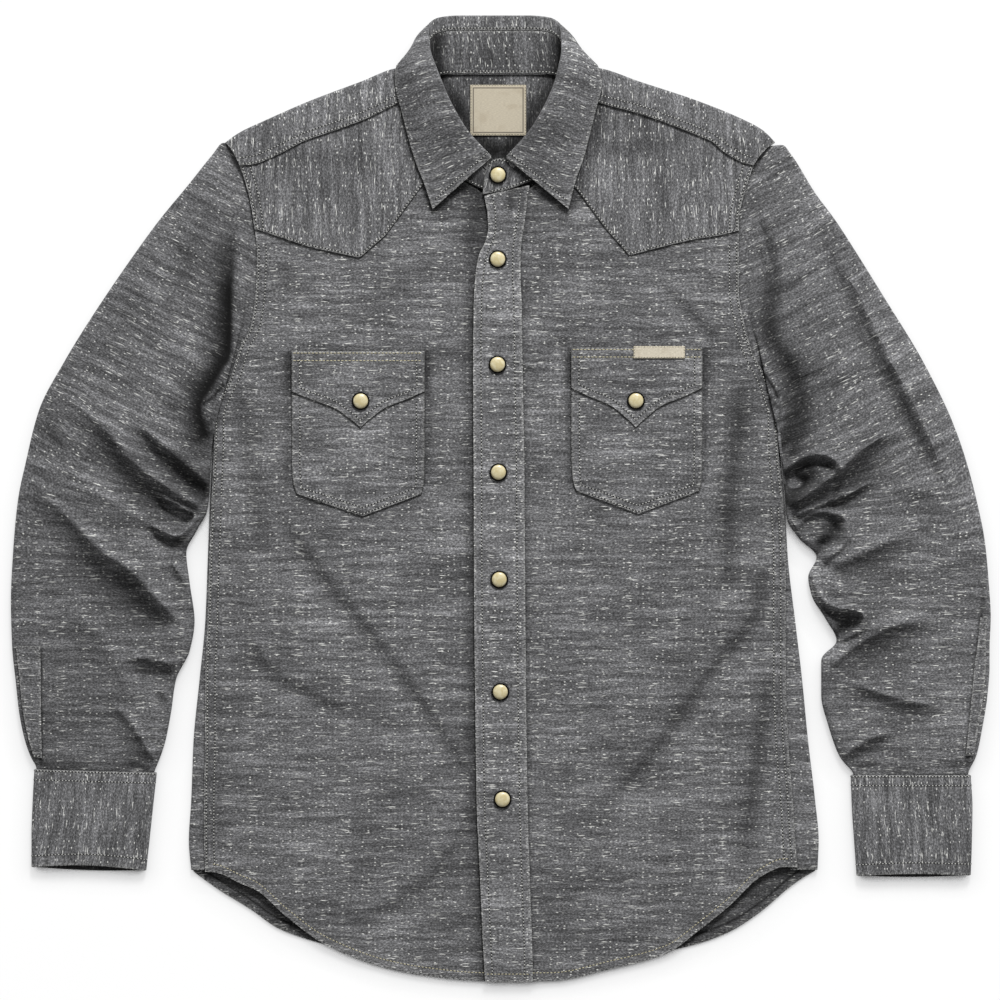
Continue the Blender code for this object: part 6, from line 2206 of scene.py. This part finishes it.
@dataclass
class Snap(Piece):
    """A snap: a domed cap in a rolled rim, turned about its own axis."""

    name: str
    place: Triple
    radius: float = 7.55
    sides: int = 56

    def profiles(self) -> tuple[list[Pair], list[Pair]]:
        """Return the sections of the cap and of the rim, as radius and height."""
        cap = [(0, 3.3), (1.8, 3.24), (3.4, 3.02), (4.8, 2.60), (5.7, 2.08), (6.15, 1.6),
               (6.3, 1.05), (6.3, 0.5), (0, 0.5)]
        rim = [(5.8, 0.02), (7.05, 0.02), (7.4, 0.3), (self.radius, 0.7), (7.4, 1.1),
               (7.1, 1.35), (6.7, 1.4), (6.40, 1.2), (6.33, 0.9), (6.33, 0.4), (5.8, 0.4)]
        return cap, rim

    def build(self) -> None:
        """Make the snap in place of its solid."""
        bm = bmesh.new()
        for slot, profile in enumerate(self.profiles()):
            self.turn(bm, profile, slot, closed=slot == 1)
        bmesh.ops.remove_doubles(bm, verts=bm.verts[:], dist=0.005 * MM)
        bmesh.ops.recalc_face_normals(bm, faces=bm.faces[:])
        bmesh.ops.translate(bm, verts=bm.verts[:], vec=Vector(self.place) * MM)
        piece = add_object(f"{self.name}_button", bm, [self.wardrobe.cap, self.wardrobe.rim])
        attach(piece, "root")
        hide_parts(self.name)
        log.info("%s", self.name)

    def turn(self, bm: bmesh.types.BMesh, profile: list[Pair], slot: int,
             closed: bool) -> None:
        """Turn one section about the snap's axis.

        Args:
            bm: the mesh.
            profile: the section, as radius and height.
            slot: number of its material.
            closed: whether the section ends where it starts.
        """
        verts = [bm.verts.new(Vector((radius, 0, z)) * MM) for radius, z in profile]
        pairs = list(zip(verts, verts[1:])) + ([(verts[-1], verts[0])] if closed else [])
        edges = [bm.edges.new(pair) for pair in pairs]
        before = set(bm.faces)
        bmesh.ops.spin(bm, geom=verts + edges, axis=(0, 0, 1), cent=(0, 0, 0), steps=self.sides,
                       angle=math.tau, use_merge=True)
        for face in bm.faces:
            if face not in before:
                face.material_index = slot


@dataclass
class Label(Piece):
    """A flat woven label."""

    name: str
    low: Point
    high: Point
    height: Callable[[Array, Array], Array]
    finish: bpy.types.Material
    on: str
    wall: float = 0.8
    row: float = 0.7

    def build(self) -> None:
        """Make the label in place of its solid."""
        shares = fill((0, 1), 1 / 16)
        x, y = np.meshgrid(mix(self.low.x, self.high.x, shares),
                           mix(self.low.y, self.high.y, shares))
        face = np.stack((x, y, self.height(x, y)), axis=2)
        cloth = Cloth(f"{self.name}_patch", face, self.wall, 1, Grain.LEVEL,
                      shift=(-self.low.x, -self.low.y))
        cloth.build(self.finish)
        width, length, area = cloth.cut()
        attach(cloth.made, "root")
        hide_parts(self.name)
        for rim in Rim:
            self.wardrobe.labels.follow(cloth, rim, [self.row], 0.03, 0.97)
        log.info("%s: %.0f x %.0f mm, %.4f m2", self.name, width / MM, length / MM, area)


# Surroundings

@dataclass
class Studio:
    """A pale floor, soft lights and a camera straight above the shirt."""

    centre: Pair = (-1.7, -0.6)
    frame_width: float = 850.0
    lens: float = 135.0
    sensor: float = 36.0
    reach: float = 6.0
    gap: float = 0.0004
    sky: float = 0.30

    def build(self) -> None:
        """Make the floor, the lights and the camera."""
        self.floor()
        self.lamp("key", (0.85, 4.8, 3.3), 1.4, 410.0)
        world = bpy.data.worlds.new("studio")
        bpy.context.scene.world = world
        world.use_nodes = True
        sky = world.node_tree.nodes["Background"].inputs
        sky["Color"].default_value = (1, 1, 1, 1)
        sky["Strength"].default_value = self.sky
        bpy.context.scene.view_settings.view_transform = "Standard"
        self.camera()

    def floor(self) -> None:
        """Make the floor, which is open to views from below, with painted shadow in its glow."""
        bm = bmesh.new()
        bmesh.ops.create_grid(bm, x_segments=1, y_segments=1, size=self.reach)
        bmesh.ops.translate(bm, verts=bm.verts[:], vec=(0, 0, -self.gap))
        board = Board("pale_floor")
        # Painted shadow: occlusion with its normal tilted toward the light dims the floor's glow in a
        # soft shadow below and beside the shirt, and paints narrow slits black.
        near = board.node("ShaderNodeAmbientOcclusion", {"samples": 12}, {
            "Distance": 0.022, "Normal": board.upright(0.94, 0.34)}, "AO")
        glow_with_painted_shadow = board.blend(near, (0.36, 0.36, 0.37), (1.0, 1.0, 1.0))
        glow_with_painted_shadow = board.blend(near.between(0.40, 0.52), (0.0, 0.0, 0.0), glow_with_painted_shadow)
        behind = board.node("ShaderNodeNewGeometry", output="Backfacing")
        board.set(Base_Color=(0.18, 0.18, 0.18), Roughness=0.9, Emission_Color=glow_with_painted_shadow,
                  Emission_Strength=0.835, Alpha=1 - behind)
        floor = add_object("floor", bm, [board.material])

    def lamp(self, name: str, place: Triple, size: float,
             power: float) -> None:
        """Make a square soft light that faces the shirt.

        Args:
            name: the light's name.
            place: where it hangs, in metres.
            size: its side, in metres.
            power: its strength, in watts.
        """
        light = bpy.data.lights.new(name, "AREA")
        light.shape = "SQUARE"
        light.size = size
        light.energy = power
        lamp = bpy.data.objects.new(name, light)
        lamp.location = place
        lamp.rotation_euler = (-Vector(place)).to_track_quat("-Z", "Y").to_euler()
        bpy.context.scene.collection.objects.link(lamp)

    def camera(self) -> None:
        """Make the camera, which looks straight down with +Y up."""
        data = bpy.data.cameras.new("camera")
        data.lens = self.lens
        data.sensor_width = self.sensor
        data.clip_end = 50.0
        camera = bpy.data.objects.new("camera", data)
        distance = self.frame_width * self.lens / self.sensor
        camera.location = (self.centre[0] * MM, self.centre[1] * MM, distance * MM)
        bpy.context.scene.collection.objects.link(camera)
        bpy.context.scene.camera = camera


POCKETS = (
    (Side.RIGHT, -178.5, -65.5, 125.5, 4.5, (-119, -14.5), 91.5, (-120, 60.6)),
    (Side.LEFT, 58.5, 170, 128.5, 7, (114.8, -12.5), 94.5, (113.5, 60.8)),
)


def build_shirt() -> None:
    """Make every piece of the shirt in its sewing order."""
    wardrobe = Wardrobe()
    Back(wardrobe).build()
    BackYoke(wardrobe).build()
    Fronts(wardrobe).right()
    Fronts(wardrobe).left()
    for side in Side:
        FrontYoke(wardrobe, side).build()
    FrontPlacket(wardrobe).build()
    for sizes in POCKETS:
        ChestPocket(wardrobe, *sizes).build()
    Sleeve(wardrobe, Side.RIGHT, RIGHT_SLEEVE, RIGHT_SLEEVE_FOLDS, RIGHT_SLEEVE_SHADOWS,
           RIGHT_SLIT, RIGHT_CUFF, dull=0.09).build()
    Sleeve(wardrobe, Side.LEFT, LEFT_SLEEVE, LEFT_SLEEVE_FOLDS, LEFT_SLEEVE_SHADOWS,
           LEFT_SLIT, LEFT_CUFF, dull=0.0).build()
    CollarPiece(wardrobe).build()
    Label(wardrobe, "neck_label", Point(-27, 309), Point(20.5, 352),
          lambda x, y: 0 * x + LAYER,
          WovenLabel("neck_weave", 47.5, 43.0, 2.6).build(), "back_yoke").build()
    Label(wardrobe, "pocket_label", Point(111.5, 119.5), Point(155, 129.8),
          lambda x, y: front_height(x, y) + 3 * LAYER,
          WovenLabel("tab_weave", 43.5, 10.3, -2.0, (0.74, 0.68, 0.55)).build(),
          "flap_left").build()
    wardrobe.sew()
    build_snaps(wardrobe)


def build_snaps(wardrobe: Wardrobe) -> None:
    """Make the front's snaps and the flaps'.

    Args:
        wardrobe: the finishes.
    """
    spots = {f"snap_{number}": spot for number, spot in enumerate(SNAPS, start=1)}
    for side, spot in ((Side.RIGHT, Point(-119.8, 83.3)), (Side.LEFT, Point(113.5, 83.6))):
        spots[f"flap_snap_{side.word}"] = spot
    for name, spot in spots.items():
        level = float(front_height(np.array(spot.x), np.array(spot.y))) + 3 * LAYER
        if name == "snap_1":
            level = OVER_TAB[1].head[2] + PLIES + SEAM
        Snap(wardrobe, name, (spot.x, spot.y, level)).build()


def main() -> None:
    """Load the frame, build the shirt and its surroundings; the pieces' sizes go to the log."""
    logging.basicConfig(level=logging.INFO, format="%(name)s: %(message)s")
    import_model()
    build_shirt()
    Studio().build()


if __name__ == "__main__":
    main()
